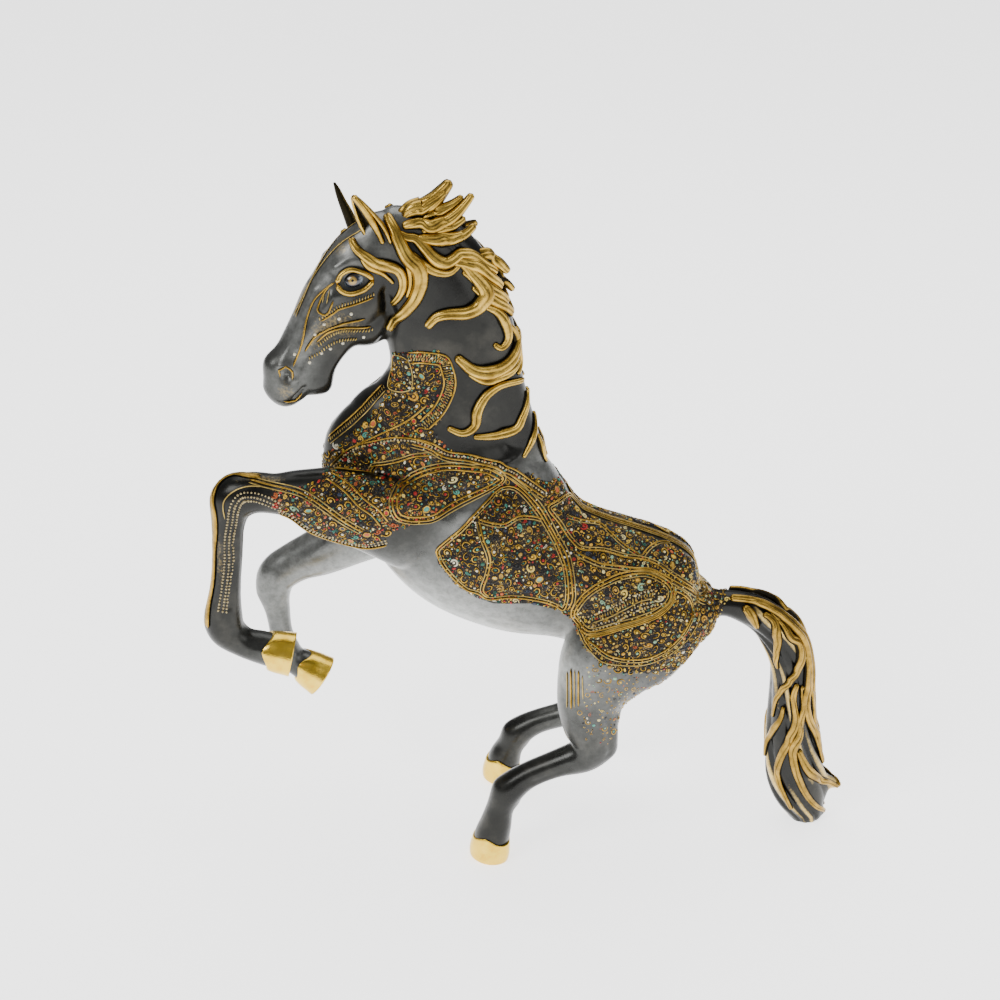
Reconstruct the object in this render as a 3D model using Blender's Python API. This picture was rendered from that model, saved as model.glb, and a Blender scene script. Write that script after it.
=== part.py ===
"""A rearing horse figurine in cast and patinated brass.

The horse balances on its two hind hooves and the foot of its tail. The trunk and neck are
two hollow half shells, the head is a hollow casting, and the limbs and the tail are solid.
Every casting is sawn from one continuous skin, so neighbouring castings meet edge to edge.
Working numbers are millimetres, and meshes are written in metres. The head looks towards -X,
the horse's left side is -Y, and +Z is up.
"""
import math

import bmesh
import bpy
from mathutils import Matrix, Vector
from mathutils.bvhtree import BVHTree

MM = 0.001
GAP = 0.3                       # clearance between neighbouring castings
WALL = 3.2                      # wall of the hollow castings
LEFT, RIGHT = -1, 1

SKIN_GRAIN = 1.5                # voxel at which the limbs are merged into one skin
SKIN_SMOOTHING = 8              # passes that soften the creases where limbs meet
SKIN_TRIANGLES = 3800
CAVITY_TRIANGLES = 450
LOCK_GRAIN = 0.7                # voxel that tidies the inside of a lock's bends
LOCK_TRIANGLES = 84
LOCK_SIDE = Vector((0.2, 1, 0.1))   # a direction that no lock runs along
LOCK_STRIDE = 1.5               # least distance between two points of a lock's path
RING_SIDES = 20                 # corners of a limb's cross-section
EAR_TRIANGLES = 120
RING_STEPS = 5                  # rings from one station to the next
DOME_RINGS = 3                  # rings that round off the end of a limb
SAW_SIDES = 24                  # corners of a saw disc
SHARP_ANGLE = math.radians(35)  # edges bent more than this are crisp
OUTSIDE = 80                    # a sideways distance that clears every limb
CREST_Y = 12                    # sideways start for a lock above the neck's ridge
PANEL_REACH = 60                # how far a panel's outline is swept sideways
PATH_STEPS = 3                  # points from one point of a lock's path to the next
LOCK_TAPER = (0.12, 0.76, 0.6)  # where on a sine arch a lock starts, the part it spans, and the arch's power

HEAD_YAW = math.radians(20)     # the head is turned to the horse's left
HEAD_SIDE = Vector((-math.sin(HEAD_YAW), math.cos(HEAD_YAW), 0))
HEAD_FRONT = Vector((-math.cos(HEAD_YAW), -math.sin(HEAD_YAW), 0))
BROW = Vector((-66, -1, 287))   # a point inside the forehead, on the head's middle plane
EYE_FORWARD, EYE_DROP = 10.4, -4.0
EYE_RADII = (2.6, 4.4, 3.4)     # outwards, along the head, upwards
EYE_SUNK = 0.6                  # the middle of the eyeball lies this far inside the cheek

LEG_Y = 1                       # index of a station's sideways coordinate

# Stations along each limb: x, y, z of the middle, then the depth and the side radius.
TRUNK = [(72, 0, 117, 17, 20), (66, 0, 120, 25, 26), (56, 0, 125, 30, 29.5), (42, 0, 129.5, 31.5, 30),
         (22, 0, 136.5, 32, 28), (-2, 0, 144.5, 37, 29.5), (-24, 0, 157, 39, 30), (-45, 0, 171.5, 33, 27),
         (-64, 0, 184, 23, 21), (-73, 0, 191, 14, 14)]
NECK = [(-27, 0, 165, 32, 22), (-39, 0, 190, 46, 21), (-39.5, 0, 206, 42, 18.5), (-35, 0, 223, 31.5, 15.5),
        (-33, 0, 239, 26, 13.5), (-35, 0, 255, 25, 12.5), (-40, 0, 270, 24, 12), (-47, 0, 284, 21.5, 11.5),
        (-57, 0, 295, 15.5, 11)]
WITHERS = [(-14, 0, 195, 17, 14), (-4, 0, 183, 17.5, 17), (8, 0, 167, 16, 20), (20, 0, 155, 14, 20)]
HEAD = [(-59, 0, 297, 13.5, 10.5), (-66, -1, 287, 17, 12.5), (-74, -3, 275, 18, 13.5), (-83, -6, 262, 16, 11.5),
        (-93, -9, 249, 13, 9.5), (-100, -12, 240, 11.5, 9), (-103.5, -13, 234, 9.5, 8.5)]
MANE_ROOT = [(-54, 0, 303, 8, 8), (-42, 0, 299, 10.5, 8.5), (-32, 0, 291, 11.5, 8.5), (-25, 0, 281, 11.5, 8.5),
             (-20, 0, 269, 11, 8.5), (-15.5, 0, 255, 11, 8.5), (-13, 0, 240, 10.5, 8.5), (-10, 0, 226, 10.5, 9),
             (-6, 0, 211, 10.5, 9.5), (-2, 0, 198, 10, 10.5), (2, 0, 186, 9, 11)]
JAW = [(-58, 1, 264, 9, 8), (-67, -2, 259.5, 10, 9), (-77, -5, 253, 8.5, 8.5), (-86, -8, 244, 8, 8),
       (-92, -10, 237.5, 7.5, 7.5)]
CHEST = [(-58, 0, 224, 8, 9), (-68, 0, 212, 12, 11), (-76, 0, 201, 12.5, 12), (-79, 0, 191, 11, 11)]
TAIL = [(80, 0, 118, 6.5, 6.5), (90, 0, 120, 6.2, 6), (100, 0, 118, 7.5, 6.5), (110, 0, 112.5, 8.5, 7.5),
        (118, 0, 103, 9, 8), (123, 0, 89, 9.3, 8.5), (125, 0, 68, 10.2, 9), (127, 0, 46, 12, 9.5),
        (130, 0, 28, 14, 9.5), (134, 0, 13, 13, 8.5), (137, 0, 3.5, 9, 7.5)]
TAIL_TIPS = [[(136, 0, 26, 6, 5), (144, 1, 21, 4.5, 4), (152, 2, 17, 1.6, 1.6)],
             [(134, 0, 12, 7, 6), (140, 0, 7, 4.5, 4.5), (145, -1, 3, 2, 2)]]
LEFT_FORELEG = [(-48, 19, 170, 22, 11), (-70, 23, 180, 18, 12), (-88, 25, 186, 16, 11.5), (-99, 25, 189, 11.5, 9.5),
                (-108, 25, 189.5, 9, 8.5), (-118, 25, 190, 9.5, 8.2), (-126, 25, 186, 10, 8.2),
                (-129, 25, 175, 7.5, 7), (-130, 25, 160, 6.6, 6.2), (-132, 25, 143, 6.8, 6.4),
                (-134, 25, 129, 8.6, 7.8), (-133, 25, 121, 8.6, 7.8), (-126, 25, 114.5, 7, 7),
                (-119, 25, 111.5, 7.8, 7.8), (-112, 25, 109.5, 9, 9), (-104.5, 25, 107.7, 10.2, 9.6)]
RIGHT_FORELEG = [(-46, 18, 160, 20, 10), (-62, 21, 152, 17, 11), (-78, 22, 143, 14, 10.5), (-94, 23, 134, 12, 9.5),
                 (-106, 24, 128, 10, 8.5), (-115, 24, 121, 9.5, 8.2), (-117, 24, 111, 7.6, 7.2),
                 (-116, 24, 101, 6, 6), (-115, 24, 90, 5.6, 5.6), (-113, 24, 80, 6.8, 6.6),
                 (-110, 24, 74.5, 6.6, 6.6), (-104, 24, 70, 8.4, 8.2), (-97, 24, 64.8, 10.2, 9.6)]
LEFT_HINDLEG = [(60, 14, 126, 27, 15), (48, 20, 115, 28, 15), (37, 25, 103, 23, 14), (30.5, 28, 88, 16.5, 12),
                (30, 29, 75, 13.5, 10), (31.5, 30, 64, 11, 9), (27, 30.5, 57, 8.8, 7.6), (15, 31, 52.5, 6.6, 6.4),
                (2, 31, 46, 6.4, 6.2), (-7, 31, 38, 7.4, 7.4), (-11, 31, 28, 6.6, 6.7), (-13, 31, 19, 7.6, 7.8),
                (-15, 31, 11, 8.8, 8.8), (-17, 31, -3, 9.8, 9.8)]
RIGHT_HINDLEG = [(60, 14, 126, 27, 15), (50, 20, 112, 26, 14.5), (42, 25, 92, 19, 13), (39, 28, 74, 14, 11),
                 (39, 29, 62, 11.5, 9.5), (39.5, 30, 50, 10.5, 9), (33, 30.5, 43, 8.6, 7.4), (20, 31, 38, 6.4, 6.2),
                 (7, 31, 33.5, 6.2, 6.2), (-2, 31, 27.5, 7.2, 7.2), (-6, 31, 20, 6.8, 7), (-9, 31, 12, 8.4, 8.5),
                 (-11, 31, -3, 9.6, 9.6)]

# Saw cuts that part the castings: a point on the cut, its normal and the radius it reaches.
THROAT_CUT = ((-42, 0, 272.5), (-0.82, 0, 0.57), 37)
LIMB_CUTS = {
    "left_elbow": ((-99.5, -25, 189), (1, 0, 0.1), 15),
    "right_elbow": ((-86, 22.5, 138.5), (0.87, 0, 0.49), 18),
    "left_gaskin": ((33.5, -27, 95), (0.3, 0, 0.95), 25),
    "right_gaskin": ((41.5, 26, 89), (0.2, 0, 0.98), 25),
    "dock": ((91.5, 0, 120), (1, 0, 0.1), 12),
    "left_fore_coronet": ((-114.8, -25, 110.2), (-0.96, 0, 0.28), 15),
    "right_fore_coronet": ((-106, 24, 71.3), (-0.82, 0, 0.57), 13),
    "left_hind_coronet": ((-14.6, -31, 13), (0.12, 0, 0.99), 14),
    "right_hind_coronet": ((-8.6, 31, 13), (0.12, 0, 0.99), 14),
}

# Each casting is the sawn piece nearest to this point.
CASTING_SEEDS = {
    "trunk": (10, 0, 112), "head": (-90, -8, 255), "tail": (126, 0, 60),
    "foreleg_left": (-130, -25, 160), "foreleg_right": (-116, 24, 100),
    "hind_leg_left": (2, -31, 46), "hind_leg_right": (7, 31, 33.5),
    "hoof_fore_left": (-108, -25, 108.6), "hoof_fore_right": (-100, 24, 67),
    "hoof_hind_left": (-16, -31, 5), "hoof_hind_right": (-10, 31, 5),
}

# Locks of the mane on one side of the neck: x and z along each lock, and its radius.
MANE_LOCKS = {
    "cheek": ([(-57, 310), (-54, 305), (-51, 298), (-46, 290), (-44.5, 283), (-47, 276), (-55, 266), (-59, 262)], 2.6),
    "brow": ([(-72, 299), (-68, 294), (-63, 291.5), (-58, 290), (-53.5, 286), (-52.5, 282), (-54, 277)], 2.0),
    "wave": ([(-45, 303), (-41, 297), (-36, 292), (-31, 292), (-27, 296), (-21, 293), (-14, 288)], 2.3),
    "crook": ([(-29, 287), (-24, 286), (-20, 281), (-19, 275), (-23, 270), (-31, 269), (-37, 268), (-42, 263)], 2.6),
    "curl": ([(-17, 267.5), (-13, 264), (-10, 259.5), (-11.5, 254)], 1.8),
    "sickle": ([(-29, 249), (-24, 243.5), (-17, 241), (-10, 243), (-6.5, 249)], 2.7),
    "hook": ([(-32, 215), (-26, 214.5), (-22, 218), (-20, 226), (-16, 232), (-9, 235.5)], 1.9),
    "scoop": ([(-21, 209), (-15, 210), (-8, 211), (-3, 216), (-2, 223), (-3, 229)], 1.9),
}
# Plumes that stand off the crest behind the ears: the points of each and its radius.
PLUMES = {
    "front": ([(-51, 2, 307), (-45, 1, 311), (-38, 0, 316), (-32, 0, 321)], 3.2),
    "middle": ([(-40, -5, 302), (-34, -5, 305), (-28, -4, 310), (-22, -3, 316)], 2.5),
    "rear": ([(-30, 0, 294), (-24, 0, 298), (-18, 0, 302)], 2.4),
    "low": ([(-18, 0, 280), (-11, 0, 281), (-6, 0, 280)], 2.4),
}

# Inlaid panels on one side, as x and z round each outline.
PANELS = {
    "neck": [(-50, 250), (-37, 251), (-31, 238), (-33, 225), (-42, 216), (-64, 214), (-88, 199), (-72, 220),
             (-58, 234)],
    "breast": [(-88, 192), (-77, 195), (-69, 189), (-67, 179), (-64, 171), (-74, 172), (-86, 180)],
    "shoulder": [(-11, 197), (-28, 199), (-46, 197), (-58, 194), (-63, 186), (-57, 179), (-44, 180), (-28, 188)],
    "barrel": [(-20, 181), (-7, 191), (5, 183), (13, 167), (19, 148), (16, 136), (-2, 140), (-16, 137), (-30, 147),
               (-41, 160), (-34, 170)],
    "hip": [(23, 129), (33, 141), (46, 148), (60, 148), (67, 141), (61, 132), (48, 126), (34, 123)],
    "haunch": [(25, 121), (36, 117), (50, 119), (64, 126), (73, 136), (81, 126), (77, 112), (64, 105), (48, 102),
               (34, 106)],
    "croup": [(19, 176), (32, 169), (46, 165), (60, 160), (74, 150), (82, 138), (69, 146), (52, 154), (35, 155),
              (22, 163)],
}
PANEL_RISE = 1.2                # the face of a panel stands this far off the skin
PANEL_INNER = 2.0               # a panel stops this far from the middle plane

EARS = {
    "ear_left": [(-63, -7.5, 299, 3.2, 5.2), (-65, -9.5, 305, 2.8, 5.8), (-68, -11, 312, 2.0, 4.2),
                 (-71, -12, 318, 0.8, 1.0)],
    "ear_right": [(-71, 7, 298, 3.2, 5.2), (-74, 9, 304, 2.8, 5.6), (-77, 10, 311, 1.8, 3.8),
                  (-80, 11, 317, 0.8, 0.9)],
}
EAR_SCOOP_SHIFT = Vector((-2.2, -1.6, 1.5))
EAR_SCOOP_LENGTH = 0.9          # the scoop against the ear: its length, its depth and its width
EAR_SCOOP_DEPTH = 0.8
EAR_SCOOP_WIDTH = 0.78

FINISHES = {
    "patina": ((0.030, 0.030, 0.027, 1), 0.8, 0.32),
    "polished_brass": ((0.52, 0.36, 0.12, 1), 1.0, 0.28),
    "inlay": ((0.22, 0.15, 0.07, 1), 0.4, 0.45),
    "eye_brass": ((0.40, 0.25, 0.06, 1), 1.0, 0.2),
}


def clear_scene():
    for obj in list(bpy.data.objects):
        bpy.data.objects.remove(obj, do_unlink=True)


def finish(name):
    """The Principled material of that name."""
    colour, metallic, roughness = FINISHES[name]
    material = bpy.data.materials.get(name) or bpy.data.materials.new(name)
    material.use_nodes = True
    shader = material.node_tree.nodes["Principled BSDF"]
    shader.inputs["Base Color"].default_value = colour
    shader.inputs["Metallic"].default_value = metallic
    shader.inputs["Roughness"].default_value = roughness
    return material


def add_object(name, bm):
    """Put a bmesh, which it frees, into the scene as an object."""
    mesh = bpy.data.meshes.new(name)
    bm.to_mesh(mesh)
    bm.free()
    obj = bpy.data.objects.new(name, mesh)
    bpy.context.collection.objects.link(obj)
    return obj


def apply_modifiers(obj):
    """Replace the object's mesh with its evaluated mesh."""
    graph = bpy.context.evaluated_depsgraph_get()
    mesh = bpy.data.meshes.new_from_object(obj.evaluated_get(graph))
    obj.modifiers.clear()
    obj.data = mesh


def combine(obj, cutter, operation, keep_cutter=False):
    """Boolean the cutter into the object."""
    boolean = obj.modifiers.new("Boolean", "BOOLEAN")
    boolean.operation = operation
    boolean.solver = "EXACT"
    boolean.object = cutter
    apply_modifiers(obj)
    if not keep_cutter:
        bpy.data.objects.remove(cutter, do_unlink=True)


def smooth_path(points, steps):
    """Catmull-Rom curve through points of any number of coordinates."""
    first = [2 * a - b for a, b in zip(points[0], points[1])]
    last = [2 * a - b for a, b in zip(points[-1], points[-2])]
    padded = [first] + [list(p) for p in points] + [last]
    path = []
    for before, start, end, after in zip(padded, padded[1:], padded[2:], padded[3:]):
        for step in range(steps):
            t = step / steps
            path.append([0.5 * (2 * b + (c - a) * t + (2 * a - 5 * b + 4 * c - d) * t * t
                                + (3 * b - a - 3 * c + d) * t ** 3)
                         for a, b, c, d in zip(before, start, end, after)])
    path.append(list(points[-1]))
    return path


def closed_path(points, steps):
    """Catmull-Rom loop through points."""
    count = len(points)
    ring = []
    for i in range(count):
        section = [points[(i + k) % count] for k in (-1, 0, 1, 2)]
        ring += smooth_path(section, steps)[steps:2 * steps]
    return ring


def face_outwards(bm):
    """Turn the faces of one closed body outwards."""
    bmesh.ops.recalc_face_normals(bm, faces=bm.faces)
    if bm.calc_volume(signed=True) < 0:
        bmesh.ops.reverse_faces(bm, faces=bm.faces)


def ring_matrix(centre, along, side_axis, depth, side):
    """Takes the unit circle to a limb's elliptical cross-section."""
    across = (side_axis - along * side_axis.dot(along)).normalized()
    normal = across.cross(along)
    columns = (normal * depth, across * side, along)
    return Matrix([[column[i] for column in columns] + [centre[i]] for i in range(3)] + [[0, 0, 0, 1]])


def loft(name, stations, side_axis=Vector((0, 1, 0)), flat_end=False, steps=RING_STEPS):
    """A closed limb through elliptical cross-sections, with domed ends, or one flat end."""
    path = smooth_path(stations, steps)
    centres = [Vector(p[:3]) for p in path]
    rings = []
    for i, point in enumerate(path):
        along = (centres[min(i + 1, len(path) - 1)] - centres[max(i - 1, 0)]).normalized()
        rings.append((centres[i], along, point[3], point[4]))

    def dome(ring, direction):
        centre, along, depth, side = ring
        reach = min(depth, side)
        caps = []
        for k in range(1, DOME_RINGS + 1):
            angle = k * math.pi / 2 / (DOME_RINGS + 0.5)
            shrink = math.cos(angle)
            caps.append((centre + along * direction * reach * math.sin(angle), along, depth * shrink, side * shrink))
        return caps

    rings = dome(rings[0], -1)[::-1] + rings + ([] if flat_end else dome(rings[-1], 1))
    bm = bmesh.new()
    previous = None
    for centre, along, depth, side in rings:
        circle = bmesh.ops.create_circle(bm, segments=RING_SIDES, radius=1,
                                         matrix=ring_matrix(centre, along, side_axis, depth, side))
        edges = list({edge for vert in circle["verts"] for edge in vert.link_edges})
        if previous is None:
            bmesh.ops.contextual_create(bm, geom=edges)
        else:
            bmesh.ops.bridge_loops(bm, edges=previous + edges)
        previous = edges
    bmesh.ops.contextual_create(bm, geom=previous)
    face_outwards(bm)
    bm.transform(Matrix.Scale(MM, 4))
    return add_object(name, bm)


def merge(name, limbs, grain, passes, triangles):
    """One closed skin round all the limbs, with soft creases."""
    bm = bmesh.new()
    for limb in limbs:
        bm.from_mesh(limb.data)
        bpy.data.objects.remove(limb, do_unlink=True)
    obj = add_object(name, bm)
    remesh = obj.modifiers.new("Remesh", "REMESH")
    remesh.mode = "VOXEL"
    remesh.voxel_size = grain * MM
    smooth = obj.modifiers.new("Smooth", "SMOOTH")
    smooth.iterations = passes
    apply_modifiers(obj)
    decimate = obj.modifiers.new("Decimate", "DECIMATE")
    decimate.ratio = triangles / (2 * len(obj.data.polygons))
    apply_modifiers(obj)
    return obj


def mirrored(stations, side):
    """Stations moved to one side of the middle plane."""
    return [station[:LEG_Y] + (side * station[LEG_Y],) + station[LEG_Y + 1:] for station in stations]


def shrunk(stations, wall):
    """Stations of the hollow inside a limb."""
    return [station[:3] + (station[3] - wall, station[4] - wall) for station in stations]


def make_skin():
    """The whole horse's outer surface, with flat soles on the ground."""
    limbs = [loft("trunk", TRUNK), loft("chest", CHEST), loft("neck", NECK), loft("withers", WITHERS),
             loft("mane_root", MANE_ROOT), loft("head", HEAD, HEAD_SIDE), loft("jaw", JAW, HEAD_SIDE),
             loft("tail", TAIL)]
    limbs += [loft("tip", tip) for tip in TAIL_TIPS]
    for stations, side in ((LEFT_FORELEG, LEFT), (RIGHT_FORELEG, RIGHT), (LEFT_HINDLEG, LEFT), (RIGHT_HINDLEG, RIGHT)):
        limbs.append(loft("leg", mirrored(stations, side), flat_end=True))
    skin = merge("skin", limbs, SKIN_GRAIN, SKIN_SMOOTHING, SKIN_TRIANGLES)
    combine(skin, box("ground", (-200, -100, -50), (200, 100, 0)), "DIFFERENCE")
    return skin


def make_cavity():
    """The hollow of the trunk, neck and head."""
    limbs = [loft("trunk", shrunk(TRUNK[:-1], WALL)), loft("neck", shrunk(NECK, WALL)),
             loft("head", shrunk(HEAD, WALL), HEAD_SIDE)]
    return merge("cavity", limbs, SKIN_GRAIN, SKIN_SMOOTHING, CAVITY_TRIANGLES)


def box(name, low, high):
    bm = bmesh.new()
    bmesh.ops.create_cube(bm, size=1)
    for vert in bm.verts:
        vert.co = [MM * (a + (b - a) * (c + 0.5)) for a, b, c in zip(low, high, vert.co)]
    return add_object(name, bm)


def saw_disc(point, normal, radius):
    """A disc as thick as the clearance, which parts whatever it crosses."""
    bm = bmesh.new()
    place = Matrix.Translation(Vector(point) * MM) @ Vector(normal).to_track_quat("Z", "Y").to_matrix().to_4x4()
    bmesh.ops.create_cone(bm, cap_ends=True, segments=SAW_SIDES, radius1=radius * MM, radius2=radius * MM,
                          depth=GAP * MM, matrix=place)
    return add_object("saw", bm)


def split_islands(obj):
    """Separate objects for the loose pieces of an object, which is removed."""
    bm = bmesh.new()
    bm.from_mesh(obj.data)
    unseen = set(bm.verts)
    groups = []
    while unseen:
        group = set()
        front = [unseen.pop()]
        while front:
            vert = front.pop()
            group.add(vert.index)
            linked = [edge.other_vert(vert) for edge in vert.link_edges]
            fresh = [other for other in linked if other in unseen]
            unseen.difference_update(fresh)
            front.extend(fresh)
        groups.append(group)
    bm.free()
    pieces = []
    for group in groups:
        piece = bmesh.new()
        piece.from_mesh(obj.data)
        bmesh.ops.delete(piece, geom=[v for v in piece.verts if v.index not in group], context="VERTS")
        pieces.append(add_object("piece", piece))
    bpy.data.objects.remove(obj, do_unlink=True)
    return pieces


def nearest_piece(pieces, point):
    """The piece whose surface is nearest to a point."""
    target = Vector(point) * MM
    return min(pieces, key=lambda piece: (piece.closest_point_on_mesh(target)[1] - target).length)


def offset_copy(obj, name, distance):
    """A copy whose surface stands a distance outside the original."""
    copy = obj.copy()
    copy.name = name
    bpy.context.collection.objects.link(copy)
    displace = copy.modifiers.new("Displace", "DISPLACE")
    displace.strength = distance * MM
    displace.mid_level = 0
    apply_modifiers(copy)
    return copy


def surface_tree(obj):
    bm = bmesh.new()
    bm.from_mesh(obj.data)
    tree = BVHTree.FromBMesh(bm)
    bm.free()
    return tree


def on_surface(tree, x, z, side):
    """The point in millimetres where the skin is met from one side at x and z."""
    start = Vector((x, side * OUTSIDE, z)) * MM
    hit = tree.ray_cast(start, Vector((0, -side, 0)))[0]
    if hit is None or hit.y * side < 0:
        hit = tree.find_nearest(Vector((x, side * CREST_Y, z)) * MM)[0]
    return hit / MM


def spaced(points, stride):
    """Points with those left out that follow the last one too closely."""
    kept = [Vector(points[0])]
    for point in points[1:]:
        if (Vector(point) - kept[-1]).length >= stride:
            kept.append(Vector(point))
    return kept


def boxes_meet(first, second):
    """Whether the bounding boxes of two objects overlap."""
    for axis in range(3):
        spans = [sorted(corner[axis] for corner in obj.bound_box) for obj in (first, second)]
        if spans[0][-1] < spans[1][0] or spans[1][-1] < spans[0][0]:
            return False
    return True


def fit(obj, clearances):
    """Cut a piece back by the clearance round the skin and the pieces laid before it."""
    for clearance in clearances:
        if boxes_meet(obj, clearance):
            combine(obj, clearance, "DIFFERENCE", keep_cutter=True)
    fitted = largest_island(obj, obj.name)
    clearances.append(offset_copy(fitted, "clearance", GAP))
    return fitted


def lock(name, points, radius, clearances):
    """A tapering lock of hair laid on the skin."""
    path = smooth_path(spaced(points, LOCK_STRIDE), PATH_STEPS)
    start, arch, power = LOCK_TAPER
    stations = []
    for i, point in enumerate(path):
        taper = math.sin(math.pi * (start + arch * i / (len(path) - 1))) ** power
        stations.append(tuple(point) + (radius * taper, radius * taper))
    strand = loft("strand", stations, LOCK_SIDE, steps=1)
    obj = merge(name, [strand], LOCK_GRAIN, 1, LOCK_TRIANGLES)
    return fit(obj, clearances)


def largest_island(obj, name):
    """Drop the crumbs that a cut leaves."""
    pieces = split_islands(obj)
    pieces.sort(key=lambda piece: len(piece.data.vertices))
    kept = pieces.pop()
    for crumb in pieces:
        bpy.data.objects.remove(crumb, do_unlink=True)
    kept.name = name
    return kept


def panel(name, outline, side, outer_skin, clearances):
    """A thin inlaid plate that follows the skin inside an outline drawn on the flank."""
    bm = bmesh.new()
    rim = [bm.verts.new((x * MM, side * PANEL_INNER * MM, z * MM)) for x, z in closed_path(outline, 4)]
    face = bm.faces.new(rim)
    sweep = bmesh.ops.extrude_face_region(bm, geom=[face])
    top = [item for item in sweep["geom"] if isinstance(item, bmesh.types.BMVert)]
    bmesh.ops.translate(bm, verts=top, vec=(0, side * PANEL_REACH * MM, 0))
    face_outwards(bm)
    obj = add_object(name, bm)
    combine(obj, outer_skin, "INTERSECT", keep_cutter=True)
    return fit(obj, clearances)


def ear(name, stations, clearances):
    """A pointed ear, scooped out at the front."""
    obj = merge(name, [loft("leaf", stations, HEAD_SIDE)], LOCK_GRAIN, 1, EAR_TRIANGLES)
    base = Vector(stations[0][:3])
    scooped = []
    for x, y, z, depth, width in stations:
        place = base + (Vector((x, y, z)) - base) * EAR_SCOOP_LENGTH + EAR_SCOOP_SHIFT
        scooped.append(tuple(place) + (depth * EAR_SCOOP_DEPTH, width * EAR_SCOOP_WIDTH))
    scoop = merge("scoop", [loft("leaf", scooped, HEAD_SIDE)], LOCK_GRAIN, 1, EAR_TRIANGLES)
    combine(obj, scoop, "DIFFERENCE")
    return fit(obj, clearances)


def eyeball(name, centre, grow):
    """An oval eye, its radii grown by a clearance."""
    bm = bmesh.new()
    bmesh.ops.create_icosphere(bm, subdivisions=2, radius=1)
    axes = (HEAD_SIDE, HEAD_FRONT, Vector((0, 0, 1)))
    for vert in bm.verts:
        place = sum((axis * c * (r + grow) for axis, c, r in zip(axes, vert.co, EYE_RADII)), centre.copy())
        vert.co = place * MM
    return add_object(name, bm)


def eye_centre(tree, side):
    """Where the eye sits in the side of the head."""
    level = BROW + HEAD_FRONT * EYE_FORWARD + Vector((0, 0, EYE_DROP))
    hit = tree.ray_cast((level + HEAD_SIDE * side * OUTSIDE) * MM, HEAD_SIDE * -side)[0]
    return hit / MM - HEAD_SIDE * side * EYE_SUNK


def saw_through(pieces, cut):
    """Part the piece that lies at the cut."""
    target = nearest_piece(pieces, cut[0])
    pieces.remove(target)
    combine(target, saw_disc(*cut), "DIFFERENCE")
    return pieces + split_islands(target)


def make_castings(skin):
    """Saw the skin into its castings, and hollow the trunk and the head."""
    pieces = [skin]
    for cut in LIMB_CUTS.values():
        pieces = saw_through(pieces, cut)
    combine(nearest_piece(pieces, THROAT_CUT[0]), make_cavity(), "DIFFERENCE")
    pieces = saw_through(pieces, THROAT_CUT)
    castings = {}
    for name, seed in CASTING_SEEDS.items():
        castings[name] = nearest_piece(pieces, seed)
        castings[name].name = name
    trunk = castings.pop("trunk")
    combine(trunk, box("median", (-200, -GAP / 2, 0), (200, GAP / 2, 330)), "DIFFERENCE")
    halves = sorted(split_islands(trunk), key=lambda half: half.bound_box[0][1])
    castings["body_left_shell"], castings["body_right_shell"] = halves[0], halves[-1]
    for name, casting in castings.items():
        casting.name = name
    return castings


def make_mane(tree, clearances):
    locks = {}
    for side, word in ((LEFT, "left"), (RIGHT, "right")):
        for kind, (points, radius) in MANE_LOCKS.items():
            name = f"mane_{kind}_{word}"
            path = [on_surface(tree, x, z, side) for x, z in smooth_path(points, 2)]
            locks[name] = lock(name, path, radius, clearances)
    for kind, (points, radius) in PLUMES.items():
        name = f"mane_plume_{kind}"
        locks[name] = lock(name, points, radius, clearances)
    return locks


def make_panels(skin, clearances):
    outer_skin = offset_copy(skin, "outer_skin", PANEL_RISE)
    panels = {}
    for side, word in ((LEFT, "left"), (RIGHT, "right")):
        for kind, outline in PANELS.items():
            name = f"{kind}_panel_{word}"
            panels[name] = panel(name, outline, side, outer_skin, clearances)
    bpy.data.objects.remove(outer_skin, do_unlink=True)
    return panels


def centre_on_base(objects):
    """Put the middle of the model's footprint box on the origin and its base on the ground."""
    corners = [vert.co for obj in objects for vert in obj.data.vertices]
    low = [min(co[i] for co in corners) for i in range(3)]
    high = [max(co[i] for co in corners) for i in range(3)]
    shift = Vector((-(low[0] + high[0]) / 2, -(low[1] + high[1]) / 2, -low[2]))
    for obj in objects:
        obj.data.transform(Matrix.Translation(shift))


def main():
    clear_scene()
    skin = make_skin()
    tree = surface_tree(skin)
    clearances = [offset_copy(skin, "clearance", GAP)]
    brass = {name: ear(name, stations, clearances) for name, stations in EARS.items()}
    brass.update(make_mane(tree, clearances))
    inlay = make_panels(skin, clearances)
    for clearance in clearances:
        bpy.data.objects.remove(clearance, do_unlink=True)
    castings = make_castings(skin)
    eyes = {}
    for side, word in ((LEFT, "left"), (RIGHT, "right")):
        centre = eye_centre(tree, side)
        combine(castings["head"], eyeball("socket", centre, GAP), "DIFFERENCE")
        eyes[f"eye_{word}"] = eyeball(f"eye_{word}", centre, 0)
    for name, obj in {**castings, **brass, **inlay, **eyes}.items():
        kind = "patina"
        if name in brass or name.startswith("hoof"):
            kind = "polished_brass"
        elif name in inlay:
            kind = "inlay"
        elif name in eyes:
            kind = "eye_brass"
        obj.name = name
        obj.data.name = name
        obj.data.materials.clear()
        obj.data.materials.append(finish(kind))
        obj.data.shade_smooth()
        obj.data.set_sharp_from_angle(angle=SHARP_ANGLE)
    centre_on_base([obj for obj in bpy.data.objects if obj.type == "MESH"])


main()
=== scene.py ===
"""Looks of the rearing horse figurine: patinated brass castings, polished relief and inlaid enamel."""
import math

import bmesh
import bpy
import numpy as np
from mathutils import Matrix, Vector
from mathutils.bvhtree import BVHTree
from mathutils.kdtree import KDTree


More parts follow.
